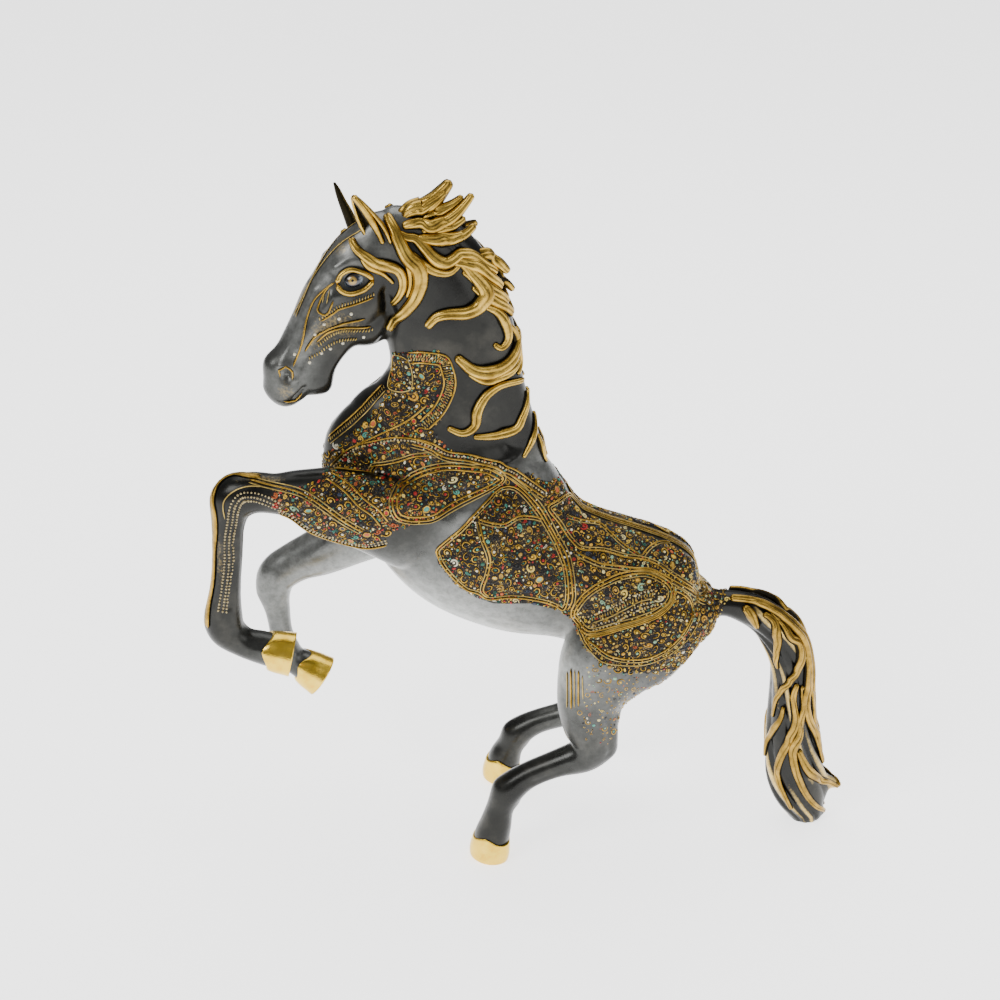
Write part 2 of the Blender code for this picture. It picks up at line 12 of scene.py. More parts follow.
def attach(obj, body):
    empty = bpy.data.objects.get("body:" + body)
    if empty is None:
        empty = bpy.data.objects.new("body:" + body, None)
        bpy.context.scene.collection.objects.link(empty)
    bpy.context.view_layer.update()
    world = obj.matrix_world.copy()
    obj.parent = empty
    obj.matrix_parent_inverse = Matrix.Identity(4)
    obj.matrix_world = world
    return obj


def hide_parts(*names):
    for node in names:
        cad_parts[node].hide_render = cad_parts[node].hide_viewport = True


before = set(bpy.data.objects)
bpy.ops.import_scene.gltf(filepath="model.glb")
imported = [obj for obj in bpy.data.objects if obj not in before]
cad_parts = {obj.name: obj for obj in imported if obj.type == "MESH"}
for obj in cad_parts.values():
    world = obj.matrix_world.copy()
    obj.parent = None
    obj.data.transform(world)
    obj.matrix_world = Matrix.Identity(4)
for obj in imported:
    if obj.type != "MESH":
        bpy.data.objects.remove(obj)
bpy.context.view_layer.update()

MM = 0.001
SHIFT = np.array([-5.1, 0.15, 0.0])    # from the modelling frame to the part's frame, in mm
LEFT, RIGHT = -1, 1
SIDES = ((LEFT, "left"), (RIGHT, "right"))
UP = np.array([0.0, 0.0, 1.0])
ACROSS = np.array([0.0, 1.0, 0.0])

GRAIN = 0.8                 # voxel of the skin
SKIN_PASSES = 28            # smoothing that softens the creases between limbs
RING_SIDES = 24
RING_STEPS = 5
DOME_RINGS = 3

HEAD_YAW = math.radians(20)
HEAD_SIDE = np.array([-math.sin(HEAD_YAW), math.cos(HEAD_YAW), 0.0])
HEAD_FRONT = np.array([-math.cos(HEAD_YAW), -math.sin(HEAD_YAW), 0.0])

# stations of the limbs: x, y, z, depth radius, side radius in mm
TRUNK = [(72, 0, 117, 17, 20), (66, 0, 120, 25, 26), (56, 0, 125, 30, 29.5), (42, 0, 129.5, 31.5, 30),
         (22, 0, 136.5, 32, 28), (-2, 0, 144.5, 37, 29.5), (-24, 0, 157, 39, 30), (-45, 0, 171.5, 33, 27),
         (-64, 0, 184, 23, 21), (-73, 0, 191, 14, 14)]
NECK = [(-27, 0, 165, 32, 22), (-39, 0, 190, 46, 21), (-39.5, 0, 206, 42, 18.5), (-35, 0, 223, 31.5, 15.5),
        (-33, 0, 239, 26, 13.5), (-35, 0, 255, 25, 12.5), (-40, 0, 270, 24, 12), (-47, 0, 284, 21.5, 11.5),
        (-57, 0, 295, 15.5, 11)]
WITHERS = [(-14, 0, 195, 17, 14), (-4, 0, 183, 17.5, 17), (8, 0, 167, 16, 20), (20, 0, 155, 14, 20)]
MANE_ROOT = [(-54, 0, 303, 8, 8), (-42, 0, 299, 10.5, 8.5), (-32, 0, 291, 11.5, 8.5),
             (-25, 0, 281, 11.5, 8.5),
             (-20, 0, 269, 11, 8.5), (-15.5, 0, 255, 11, 8.5), (-13, 0, 240, 10.5, 8.5),
             (-10, 0, 226, 10.5, 9),
             (-6, 0, 211, 10.5, 9.5), (-2, 0, 198, 10, 10.5), (2, 0, 186, 9, 11)]
HEAD = [(-59, 0, 297, 13.5, 10.5), (-66, -1, 287, 17, 12.5), (-74, -3, 275, 18, 13.5),
        (-83, -6, 262, 16, 11.5),
        (-93, -9, 249, 13, 9.5), (-100, -12, 240, 11.5, 9), (-103.5, -13, 234, 9.5, 8.5)]
JAW = [(-58, 1, 264, 9, 8), (-67, -2, 259.5, 10, 9), (-77, -5, 256.5, 7, 8.5), (-85, -8, 246, 5.5, 8),
       (-89.5, -10, 237, 7.6, 7.5)]
CHEST = [(-58, 0, 224, 8, 9), (-68, 0, 212, 12, 11), (-76, 0, 201, 12.5, 12), (-79, 0, 191, 11, 11)]
TAIL = [(80, 0, 118, 6.5, 6.5), (90, 0, 120, 6.2, 6), (100, 0, 118, 7.5, 6.5), (110, 0, 112.5, 8.5, 7.5),
        (118, 0, 103, 9, 8), (123, 0, 89, 9.3, 8.5), (125, 0, 68, 10.2, 9), (127, 0, 46, 12, 9.5),
        (130, 0, 28, 14, 9.5), (134, 0, 13, 13, 8.5), (137, 0, 3.5, 9, 7.5)]
TAIL_TIPS = [[(136, 0, 26, 6, 5), (144, 1, 21, 4.5, 4), (152, 2, 17, 1.6, 1.6)],
             [(134, 0, 12, 7, 6), (140, 0, 7, 4.5, 4.5), (145, -1, 3, 2, 2)]]
LEFT_FORELEG = [(-48, 19, 170, 22, 11), (-70, 23, 180, 18, 12), (-88, 25, 186, 16, 11.5),
                (-99, 25, 189, 11.5, 9.5), (-108, 25, 189.5, 9, 8.5), (-118, 25, 190, 9.5, 8.2),
                (-126, 25, 186, 10, 8.2), (-129, 25, 175, 7.5, 7), (-130, 25, 160, 6.6, 6.2),
                (-132, 25, 143, 6.8, 6.4), (-134, 25, 129, 8.6, 7.8), (-133, 25, 121, 8.6, 7.8),
                (-126, 25, 114.5, 7, 7), (-119, 25, 112, 7.6, 7.6), (-111, 25, 109.5, 8, 8)]
RIGHT_FORELEG = [(-46, 18, 160, 20, 10), (-62, 21, 152, 17, 11), (-78, 22, 143, 14, 10.5),
                 (-94, 23, 134, 12, 9.5), (-106, 24, 128, 10, 8.5), (-115, 24, 121, 9.5, 8.2),
                 (-117, 24, 111, 7.6, 7.2), (-116, 24, 101, 6, 6), (-115, 24, 90, 5.6, 5.6),
                 (-113, 24, 80, 6.8, 6.6), (-110, 24, 74.5, 6.6, 6.6), (-105, 24, 71, 7.4, 7.4),
                 (-100, 24, 67.5, 8, 8)]
LEFT_HINDLEG = [(60, 14, 126, 27, 15), (48, 20, 115, 28, 15), (37, 25, 103, 23, 14), (30.5, 28, 88, 16.5, 12),
                (30, 29, 75, 13.5, 10), (31.5, 30, 64, 11, 9), (27, 30.5, 57, 8.8, 7.6),
                (15, 31, 52.5, 6.6, 6.4),
                (2, 31, 46, 6.4, 6.2), (-7, 31, 38, 7.4, 7.4), (-11, 31, 28, 6.6, 6.7),
                (-13, 31, 19, 7.6, 7.8),
                (-15, 31, 11, 8.5, 8.3), (-16, 31, 3, 7.5, 7.2), (-17, 31, -3, 7.5, 7)]
RIGHT_HINDLEG = [(60, 14, 126, 27, 15), (50, 20, 112, 26, 14.5), (42, 25, 92, 19, 13), (39, 28, 74, 14, 11),
                 (39, 29, 62, 11.5, 9.5), (39.5, 30, 50, 10.5, 9), (33, 30.5, 43, 8.6, 7.4),
                 (20, 31, 38, 6.4, 6.2),
                 (7, 31, 33.5, 6.2, 6.2), (-2, 31, 27.5, 7.2, 7.2), (-6, 31, 20, 6.8, 7),
                 (-9, 31, 12, 8.2, 8),
                 (-10, 31, 3, 7.4, 7.2), (-11, 31, -3, 7.4, 7)]

# where the castings part: point, normal, radius in mm
THROAT_CUT = ((-42, 0, 272.5), (-0.82, 0, 0.57), 37)
LIMB_CUTS = [((-99.5, -25, 189), (1, 0, 0.1), 15), ((-86, 22.5, 138.5), (0.87, 0, 0.49), 18),
             ((33.5, -27, 95), (0.3, 0, 0.95), 25), ((41.5, 26, 89), (0.2, 0, 0.98), 25),
             ((91.5, 0, 120), (1, 0, 0.1), 12),
             ((-112, -25, 109.8), (-0.95, 0, 0.3), 14), ((-102, 24, 69), (-0.82, 0, 0.57), 13),
             ((-15.5, -31, 7), (0.12, 0, 0.99), 16), ((-9.8, 31, 7), (0.12, 0, 0.99), 16)]
SEEDS = {"head": (-90, -8, 255), "foreleg_left": (-130, -25, 155), "foreleg_right": (-115, 24, 92),
         "hind_leg_left": (10, -31, 50), "hind_leg_right": (15, 31, 36), "tail": (125, 0, 68),
         "body_left_shell": (0, -25, 145), "body_right_shell": (0, 25, 145)}


# ---------------------------------------------------------------- curves
def smooth_path(points, steps):
    """Catmull-Rom curve through rows of numbers."""
    points = np.asarray(points, float)
    padded = np.vstack([2 * points[0] - points[1], points, 2 * points[-1] - points[-2]])
    t = (np.arange(steps) / steps)[:, None]
    path = []
    for a, b, c, d in zip(padded, padded[1:], padded[2:], padded[3:]):
        path.append(0.5 * (2 * b + (c - a) * t + (2 * a - 5 * b + 4 * c - d) * t ** 2
                           + (3 * b - a - 3 * c + d) * t ** 3))
    return np.vstack(path + [points[-1:]])


def evenly(path, step):
    """The same curve with points a step apart, measured over its first three columns."""
    path = np.asarray(path, float)
    lengths = np.linalg.norm(np.diff(path[:, :3], axis=0), axis=1)
    along = np.concatenate([[0], np.cumsum(lengths)])
    count = max(int(round(along[-1] / step)), 2) + 1
    places = np.linspace(0, along[-1], count)
    return np.stack([np.interp(places, along, column) for column in path.T], axis=1)


def unit(v):
    v = np.asarray(v, float)
    return v / np.maximum(np.linalg.norm(v, axis=-1, keepdims=True), 1e-9)


def tangents(path):
    return unit(np.gradient(path, axis=0))


# ---------------------------------------------------------------- meshes
def mesh_object(name, vertices, faces, materials, slots=None, values=None):
    """An object from vertices in mm. faces is a list of index arrays, each of one corner count;
    slots is a list of material numbers, one array for each of faces; values are named vertex floats."""
    mesh = bpy.data.meshes.new(name)
    vertices = (np.asarray(vertices, float) + SHIFT) * MM
    mesh.vertices.add(len(vertices))
    mesh.vertices.foreach_set("co", vertices.ravel())
    corners = np.concatenate([f.ravel() for f in faces])
    sizes = np.concatenate([np.full(len(f), f.shape[1]) for f in faces])
    mesh.loops.add(len(corners))
    mesh.loops.foreach_set("vertex_index", corners.astype(np.int32))
    mesh.polygons.add(len(sizes))
    mesh.polygons.foreach_set("loop_start", np.concatenate([[0], np.cumsum(sizes)[:-1]]).astype(np.int32))
    mesh.polygons.foreach_set("use_smooth", np.ones(len(sizes), bool))
    for material in materials:
        mesh.materials.append(material)
    if slots is not None:
        mesh.polygons.foreach_set("material_index", np.concatenate(slots).astype(np.int32))
    for key, column in (values or {}).items():
        mesh.attributes.new(key, "FLOAT", "POINT").data.foreach_set("value", np.asarray(column, np.float32))
    mesh.update(calc_edges=True)
    mesh.validate()
    obj = bpy.data.objects.new(name, mesh)
    bpy.context.scene.collection.objects.link(obj)
    return obj


def grid_faces(rows, columns, closed):
    """Quads between rows of points; closed joins the last column to the first."""
    r, c = np.meshgrid(np.arange(rows - 1), np.arange(columns if closed else columns - 1), indexing="ij")
    r, c = r.ravel(), c.ravel()
    right = (c + 1) % columns
    return np.stack([r * columns + c, r * columns + right, (r + 1) * columns + right, (r + 1) * columns + c],
                    1)


def tube_faces(rows, columns):
    """Faces of a closed tube of rings: the quads round it and a cap at each end."""
    return [grid_faces(rows, columns, True), np.arange(columns)[None, ::-1],
            np.arange((rows - 1) * columns, rows * columns)[None]]


def vertex_normals(vertices, quads):
    """Area-weighted normals."""
    a, b, c, d = (vertices[quads[:, corner]] for corner in range(4))
    diagonal = np.cross(c - a, d - b)
    normals = np.zeros_like(vertices)
    for corner in range(4):
        for axis in range(3):
            normals[:, axis] += np.bincount(quads[:, corner], diagonal[:, axis], len(vertices))
    return unit(normals)


def limb(stations, side_axis=ACROSS, flat_end=False):
    """Vertices and faces of a limb through elliptical sections, with domed ends or one flat end."""
    path = smooth_path(stations, RING_STEPS)
    along = np.vstack([path[1, :3] - path[0, :3], path[2:, :3] - path[:-2, :3], path[-1, :3] - path[-2, :3]])
    along = unit(along)
    rings = [(p[:3], a, p[3], p[4]) for p, a in zip(path, along)]

    def dome(ring, direction):
        centre, axis, depth, side = ring
        reach = min(depth, side)
        caps = []
        for k in range(1, DOME_RINGS + 1):
            angle = k * math.pi / 2 / (DOME_RINGS + 0.5)
            caps.append((centre + axis * direction * reach * math.sin(angle), axis,
                         depth * math.cos(angle), side * math.cos(angle)))
        return caps

    rings = dome(rings[0], -1)[::-1] + rings + ([] if flat_end else dome(rings[-1], 1))
    turn = np.linspace(0, 2 * math.pi, RING_SIDES, endpoint=False)[:, None]
    vertices = []
    for centre, axis, depth, side in rings:
        across = unit(side_axis - axis * np.dot(side_axis, axis))
        normal = np.cross(across, axis)
        vertices.append(centre + normal * depth * np.cos(turn) + across * side * np.sin(turn))
    quads = grid_faces(len(rings), RING_SIDES, True)
    last = (len(rings) - 1) * RING_SIDES
    return np.vstack(vertices), quads, [list(range(RING_SIDES))[::-1], list(range(last, last + RING_SIDES))]


def on_side(stations, side):
    return [(s[0], side * s[1]) + tuple(s[2:]) for s in stations]


def evaluated(obj):
    """Vertices in mm and quads of an object with its modifiers applied."""
    depsgraph = bpy.context.evaluated_depsgraph_get()
    mesh = obj.evaluated_get(depsgraph).to_mesh()
    vertices = np.empty(len(mesh.vertices) * 3)
    mesh.vertices.foreach_get("co", vertices)
    quads = np.empty(len(mesh.loops), np.int32)
    mesh.loops.foreach_get("vertex_index", quads)
    return vertices.reshape(-1, 3) / MM - SHIFT, quads.reshape(-1, 4)


def make_skin():
    """The whole horse's outer surface as one net of quads."""
    limbs = [limb(TRUNK), limb(NECK), limb(WITHERS), limb(MANE_ROOT), limb(CHEST), limb(HEAD, HEAD_SIDE),
             limb(JAW, HEAD_SIDE), limb(TAIL)]
    limbs += [limb(tip) for tip in TAIL_TIPS]
    for stations, side in ((LEFT_FORELEG, LEFT), (RIGHT_FORELEG, RIGHT), (LEFT_HINDLEG, LEFT),
                           (RIGHT_HINDLEG, RIGHT)):
        limbs.append(limb(on_side(stations, side), flat_end=True))
    bm = bmesh.new()
    for vertices, quads, caps in limbs:
        verts = [bm.verts.new((v + SHIFT) * MM) for v in vertices]
        for face in quads.tolist() + caps:
            bm.faces.new([verts[i] for i in face])
    bmesh.ops.recalc_face_normals(bm, faces=bm.faces)
    mesh = bpy.data.meshes.new("skin")
    bm.to_mesh(mesh)
    bm.free()
    obj = bpy.data.objects.new("skin", mesh)
    bpy.context.scene.collection.objects.link(obj)
    remesh = obj.modifiers.new("Remesh", "REMESH")
    remesh.mode = "VOXEL"
    remesh.voxel_size = GRAIN * MM
    smooth = obj.modifiers.new("Smooth", "SMOOTH")
    smooth.iterations = SKIN_PASSES
    vertices, quads = evaluated(obj)
    bpy.data.objects.remove(obj, do_unlink=True)
    return vertices, quads


# ---------------------------------------------------------------- sculpting
# soft ridges (+) and grooves (-) of both flanks: points, reach, height in mm, mirrored over the middle plane
FLANK_FORMS = [
    ([(-6, -16, 198), (-30, -25, 192), (-60, -27, 184)], 6, 1.0),
    ([(-58, -28, 190), (-50, -30, 184), (-40, -28, 180)], 7, 0.8),
    ([(-8, -20, 187), (-22, -26, 178), (-36, -28, 164), (-44, -24, 156)], 4.5, -1.4),
    ([(-62, -26, 176), (-70, -27, 172), (-80, -27, 174)], 5, 0.7),
    ([(12, -26, 166), (20, -26, 150), (20, -28, 132), (12, -30, 120)], 6, -1.3),
    ([(28, -26, 150), (34, -26, 146)], 7, 1.0),
    ([(50, -32, 128), (66, -28, 122)], 13, 1.0),
    ([(28, -33, 122), (24, -33, 108)], 7, 0.8),
    ([(66, -26, 106), (50, -32, 96), (42, -33, 84)], 4, -1.0),
    ([(-82, -9, 192), (-76, -10, 180)], 6, 1.6),
    ([(-60, -12, 244), (-74, -14, 222), (-84, -14, 206)], 3, -0.9),
    ([(-34, -14, 262), (-32, -14, 240), (-24, -16, 220)], 5, 0.5),
    ([(-60, -16, 206), (-40, -20, 200), (-16, -18, 196)], 3, -0.5),
]
MIDDLE_FORMS = [
    ([(18, 0, 176), (34, 0, 168), (52, 0, 162), (70, 0, 150), (84, 0, 134)], 4, -0.5),
    ([(-107, -14, 246)], 5, 2.4), ([(-108, -13, 231)], 5, -2.6), ([(-84, -8, 230)], 4, 1.2),
    ([(-72, 0, 216), (-90, 0, 196), (-90, 0, 180)], 2.6, -1.3),
    ([(60, -11, 161), (74, -12, 150)], 8, 0.8), ([(60, 11, 161), (74, 12, 150)], 8, 0.8),
]
LEG_FORMS = [
    ([(-126, -25, 193), (-132, -25, 188)], 4.5, 1.0),
    ([(-126, -31, 178), (-128, -31, 150), (-130, -31, 136)], 1.6, -0.7),
    ([(-126, -19, 178), (-128, -19, 150), (-130, -19, 136)], 1.6, -0.7), ([(-138, -25, 126)], 4, 0.8),
    ([(-120, 24, 120), (-124, 24, 112)], 4.5, 1.0), ([(-112, 30, 106), (-111, 30, 92)], 1.6, -0.7),
    ([(-112, 18, 106), (-111, 18, 92)], 1.6, -0.7), ([(-118, 24, 78)], 4, 0.7),
    ([(40, -30, 60)], 4.5, 1.3), ([(36, -37, 84), (38, -36, 72), (38, -35, 62)], 2.2, -1.0),
    ([(20, -36, 86), (26, -38, 72)], 4, 0.7), ([(20, -36, 54), (4, -36, 46)], 1.6, -0.7),
    ([(-14, -31, 42)], 4, 0.8), ([(-3, -31, 31)], 3, 0.8),
    ([(48, 30, 46)], 4.5, 1.3), ([(45, 35, 68), (46, 34, 56)], 2.2, -1.0),
    ([(24, 36, 40), (8, 36, 33)], 1.6, -0.7),
    ([(-9, 31, 31)], 4, 0.8), ([(2, 31, 21)], 3, 0.8),
]
# forms of the head's left side, mirrored over the head's own middle plane
HEAD_FORMS = [
    ([(-66, -12, 268), (-68, -12, 262)], 8, 1.5),
    ([(-60, -9, 276), (-56, -8, 264), (-61, -6, 254)], 2.6, -1.3),
    ([(-72, -16, 284)], 4.6, -1.7),
    ([(-64, -14, 291), (-72, -15, 293), (-79, -14, 289)], 2.4, 1.2),
    ([(-68, -13, 300)], 4, -0.9),
    ([(-80, -16, 277), (-88, -17, 266), (-94, -18, 254)], 2.4, 1.0),
    ([(-84, -18, 264), (-92, -18, 252), (-97, -18, 243)], 2.6, -1.2),
    ([(-88, -13, 279), (-96, -16, 262), (-102, -18, 249)], 2.0, 0.6),
    ([(-78, -13, 252), (-87, -14, 243)], 3.5, 0.6),
    ([(-100.5, -20.5, 243)], 2.3, -2.4),
    ([(-103, -19.5, 247), (-98.5, -20, 246.5), (-97, -20, 241)], 1.6, 1.1),
    ([(-94, -18, 236), (-98, -19, 232.5), (-103, -18, 229.5)], 0.9, -1.3),
    ([(-99, -19, 236), (-104, -19, 233)], 2.2, 0.8),
    ([(-94, -15, 230)], 3, 0.9),
    ([(-88, -13, 234)], 3, -1.2),
]
MANE_FORMS = [
    ([(-44, y, 306), (-30, y, 296), (-22, y, 280), (-18, y, 262)], 1.2, h)
    for y, h in ((-7, -1.0), (-4, 0.9), (4, 0.9), (7, -1.0))
]


def mirror_flank(points):
    return np.asarray(points, float) * (1, -1, 1)


def mirror_head(points):
    """Reflect over the head's middle plane, which bends away from the neck's by the yaw."""
    points = np.asarray(points, float)
    middle = np.array(HEAD[1][:3], float)
    return points - 2 * ((points - middle) @ HEAD_SIDE)[:, None] * HEAD_SIDE


def as_drawn(points):
    return np.asarray(points, float)


HEAD_MIRRORS = {"left": as_drawn, "right": mirror_head}


def path_distance(points, path):
    """Distance from each point to a polyline, and how far along it the nearest place is, 0 to 1."""
    path = np.asarray(path, float)
    if len(path) == 1:
        return np.linalg.norm(points - path[0], axis=1), np.zeros(len(points))
    best, place = np.full(len(points), np.inf), np.zeros(len(points))
    for i, (a, b) in enumerate(zip(path, path[1:])):
        d = b - a
        t = np.clip(((points - a) @ d) / (d @ d), 0, 1)
        distance = np.linalg.norm(points - a - t[:, None] * d, axis=1)
        near = distance < best
        best[near] = distance[near]
        place[near] = (i + t[near]) / (len(path) - 1)
    return best, place


def near_box(points, path, reach):
    low, high = np.min(path, axis=0) - reach, np.max(path, axis=0) + reach
    return np.flatnonzero(np.all((points > low) & (points < high), axis=1))


def sculpt(vertices, quads, forms):
    """Move the skin along its normals by soft ridges and grooves."""
    normals = vertex_normals(vertices, quads)
    height = np.zeros(len(vertices))
    for points, reach, lift in forms:
        path = smooth_path(points, 6) if len(points) > 2 else np.asarray(points, float)
        chosen = near_box(vertices, path, 3 * reach)
        distance, _ = path_distance(vertices[chosen], path)
        height[chosen] += lift * np.exp(-(distance / reach) ** 2)
    return vertices + normals * height[:, None]


def every_form():
    forms = list(MIDDLE_FORMS) + list(LEG_FORMS) + list(MANE_FORMS)
    for points, reach, lift in FLANK_FORMS:
        forms += [(points, reach, lift), (mirror_flank(points), reach, lift)]
    for points, reach, lift in HEAD_FORMS:
        forms += [(points, reach, lift), (mirror_head(points), reach, lift)]
    return forms


class Surface:
    """The sculpted skin, as something that other pieces are laid on."""

    def __init__(self, vertices, quads):
        self.vertices, self.quads = vertices, quads
        self.normals = vertex_normals(vertices, quads)
        self.tree = BVHTree.FromPolygons(vertices.tolist(), quads.tolist())
        self.points = KDTree(len(vertices))
        for i, vertex in enumerate(vertices):
            self.points.insert(vertex, i)
        self.points.balance()

    def snap(self, points):
        """Nearest places on the skin, with soft normals."""
        places, normals = [], []
        for point in points:
            place = self.tree.find_nearest(point)[0]
            places.append(place)
            normals.append(self.normals[self.points.find(place)[1]])
        return np.array(places, float), unit(np.array(normals))

    def lay(self, points, step=0.8, shift=0.0, closed=False):
        """A smooth path on the skin through points, moved sideways by shift: places and normals."""
        points = np.asarray(points, float)
        if closed:
            count = len(points)
            wrapped = np.vstack([points[-2:], points, points[:2]])
            path = smooth_path(wrapped, 8)[2 * 8:(2 + count) * 8 + 1]
        else:
            path = smooth_path(points, 8)
        places, normals = self.snap(evenly(path, step))
        if shift:
            sideways = unit(np.cross(tangents(places), normals))
            places, normals = self.snap(places + sideways * shift)
        return places, normals


# ---------------------------------------------------------------- castings
def components(count, edges):
    """A number for each vertex, the same for vertices that edges join."""
    parent = np.arange(count)
    while True:
        low = np.minimum(parent[edges[:, 0]], parent[edges[:, 1]])
        fresh = parent.copy()
        np.minimum.at(fresh, edges[:, 0], low)
        np.minimum.at(fresh, edges[:, 1], low)
        fresh = fresh[fresh]
        if np.array_equal(fresh, parent):
            return parent
        parent = fresh


def saw(bm, faces, point, normal, radius):
    """Part the skin along a disc."""
    centre = Vector(point)
    normal = Vector(normal).normalized()
    band = 3 * GRAIN

    def close(face):
        offset = face.calc_center_median() - centre
        return abs(offset.dot(normal)) < band and offset.length < radius

    faces = [f for f in faces if close(f)]
    verts = {v for f in faces for v in f.verts}
    edges = {e for f in faces for e in f.edges}
    found = bmesh.ops.bisect_plane(bm, geom=list(verts) + list(edges) + faces, dist=1e-5,
                                   plane_co=centre, plane_no=normal)["geom_cut"]
    bmesh.ops.split_edges(bm, edges=[g for g in found if isinstance(g, bmesh.types.BMEdge)])


def vertex_groups(bm):
    """The number of the loose part that each vertex belongs to."""
    bm.verts.index_update()
    return components(len(bm.verts), np.array([[v.index for v in e.verts] for e in bm.edges]))


def split_castings(surface):
    """The skin parted into closed castings: {name: (vertices, faces)}."""
    bm = bmesh.new()
    verts = [bm.verts.new(v) for v in surface.vertices]
    for face in surface.quads.tolist():
        bm.faces.new([verts[i] for i in face])
    for point, normal, radius in LIMB_CUTS + [THROAT_CUT]:
        saw(bm, bm.faces, point, normal, radius)
    group = vertex_groups(bm)
    trunk = np.bincount(group).argmax()
    saw(bm, [f for f in bm.faces if group[f.verts[0].index] == trunk], (0, 0, 160), (0, 1, 0), 400)
    bmesh.ops.holes_fill(bm, edges=[e for e in bm.edges if e.is_boundary], sides=0)
    group = vertex_groups(bm)
    vertices = np.array([v.co for v in bm.verts])
    faces = {}
    for face in bm.faces:
        corners = [v.index for v in face.verts]
        faces.setdefault(group[corners[0]], []).append(corners)
    bm.free()
    castings = {}
    for name, seed in SEEDS.items():
        number = min(faces, key=lambda g: np.linalg.norm(vertices[group == g] - seed, axis=1).min())
        mine = np.flatnonzero(group == number)
        place = np.zeros(len(vertices), int)
        place[mine] = np.arange(len(mine))
        castings[name] = (vertices[mine], [place[corners] for corners in faces[number]])
    return castings


# ---------------------------------------------------------------- materials
def new_material(name, metallic, roughness, coat=0.0):
    """A material, its node tree and its Principled shader."""
    material = bpy.data.materials.new(name)
    material.use_nodes = True
    shader = material.node_tree.nodes["Principled BSDF"]
    shader.inputs["Metallic"].default_value = metallic
    shader.inputs["Roughness"].default_value = roughness
    shader.inputs["Coat Weight"].default_value = coat
    return material, material.node_tree, shader


def node(tree, kind, settings=None, **inputs):
    """A shader node; inputs are values or sockets, named with _ for spaces, or i and the input's number."""
    made = tree.nodes.new(kind)
    for key, value in (settings or {}).items():
        setattr(made, key, value)
    for key, value in inputs.items():
        numbered = key[0] == "i" and key[1:].isdigit()
        socket = made.inputs[int(key[1:]) if numbered else key.replace("_", " ")]
        if isinstance(value, bpy.types.NodeSocket):
            tree.links.new(value, socket)
        else:
            socket.default_value = value
    return made


def ramp(tree, factor, stops, mode="LINEAR"):
    """Colour ramp through (place, (r, g, b))."""
    made = node(tree, "ShaderNodeValToRGB", Fac=factor)
    made.color_ramp.interpolation = mode
    elements = made.color_ramp.elements
    while len(elements) < len(stops):
        elements.new(0.5)
    for element, (place, colour) in zip(elements, stops):
        element.position = place
        element.color = (*colour, 1)
    return made.outputs["Color"]


def noise(tree, scale, detail=3.0, roughness=0.55):
    """Noise in the object's own coordinates."""
    place = node(tree, "ShaderNodeTexCoord").outputs["Object"]
    made = node(tree, "ShaderNodeTexNoise", Vector=place, Scale=scale, Detail=detail, Roughness=roughness)
    return made.outputs["Fac"]


def mix_colour(tree, factor, first, second, blend="MIX"):
    settings = {"data_type": "RGBA", "blend_type": blend}
    return node(tree, "ShaderNodeMix", settings, i0=factor, i6=first, i7=second).outputs[2]


def maths(tree, operation, first, second=0.0):
    return node(tree, "ShaderNodeMath", {"operation": operation}, i0=first, i1=second).outputs[0]


def span(tree, value, low, high, start=0.0, end=1.0):
    """Value between low and high, stretched to start and end."""
    made = node(tree, "ShaderNodeMapRange", {"clamp": True}, i0=value, i1=low, i2=high, i3=start, i4=end)
    return made.outputs[0]


def bump(tree, height, strength, distance, shader):
    made = node(tree, "ShaderNodeBump", Strength=strength, Distance=distance, Height=height)
    tree.links.new(made.outputs["Normal"], shader.inputs["Normal"])


def attribute(tree, name):
    return node(tree, "ShaderNodeAttribute", {"attribute_name": name}).outputs["Fac"]


def patina_material():
    """Dark gunmetal patina: pale where hands rub it, and pale on the belly as a painted reflection of the
    white floor; gilt where the gild attribute is high.
    """
    material, tree, shader = new_material("gunmetal_patina", 0.7, 0.3, coat=0.12)
    shader.inputs["Coat Roughness"].default_value = 0.18
    cloud = noise(tree, 60, 5)
    fine = noise(tree, 900, 4, 0.7)
    streak = noise(tree, 240, 6, 0.75)
    dark = ramp(tree, cloud, [(0.3, (0.004, 0.004, 0.003)), (0.52, (0.010, 0.010, 0.008)),
                              (0.72, (0.034, 0.032, 0.026))])
    pale = ramp(tree, streak, [(0.3, (0.24, 0.25, 0.23)), (0.7, (0.56, 0.57, 0.55))])
    # pale mix: rubbed wear, and on the belly a painted reflection of the white floor
    wear_and_reflection = attribute(tree, "wear_and_reflection")
    tint = mix_colour(tree, wear_and_reflection, dark, pale)
    gilt = maths(tree, "ADD", attribute(tree, "gild"), maths(tree, "MULTIPLY", fine, 0.35))
    gild = span(tree, gilt, 0.45, 0.85)
    gold = ramp(tree, streak, [(0.3, (0.42, 0.27, 0.06)), (0.7, (0.86, 0.62, 0.20))])
    tree.links.new(mix_colour(tree, gild, tint, gold), shader.inputs["Base Color"])
    tree.links.new(span(tree, cloud, 0.3, 0.75, 0.24, 0.42), shader.inputs["Roughness"])
    bump(tree, maths(tree, "ADD", maths(tree, "MULTIPLY", streak, 0.7), maths(tree, "MULTIPLY", fine, 0.3)),
         0.24, 0.0005, shader)
    return material


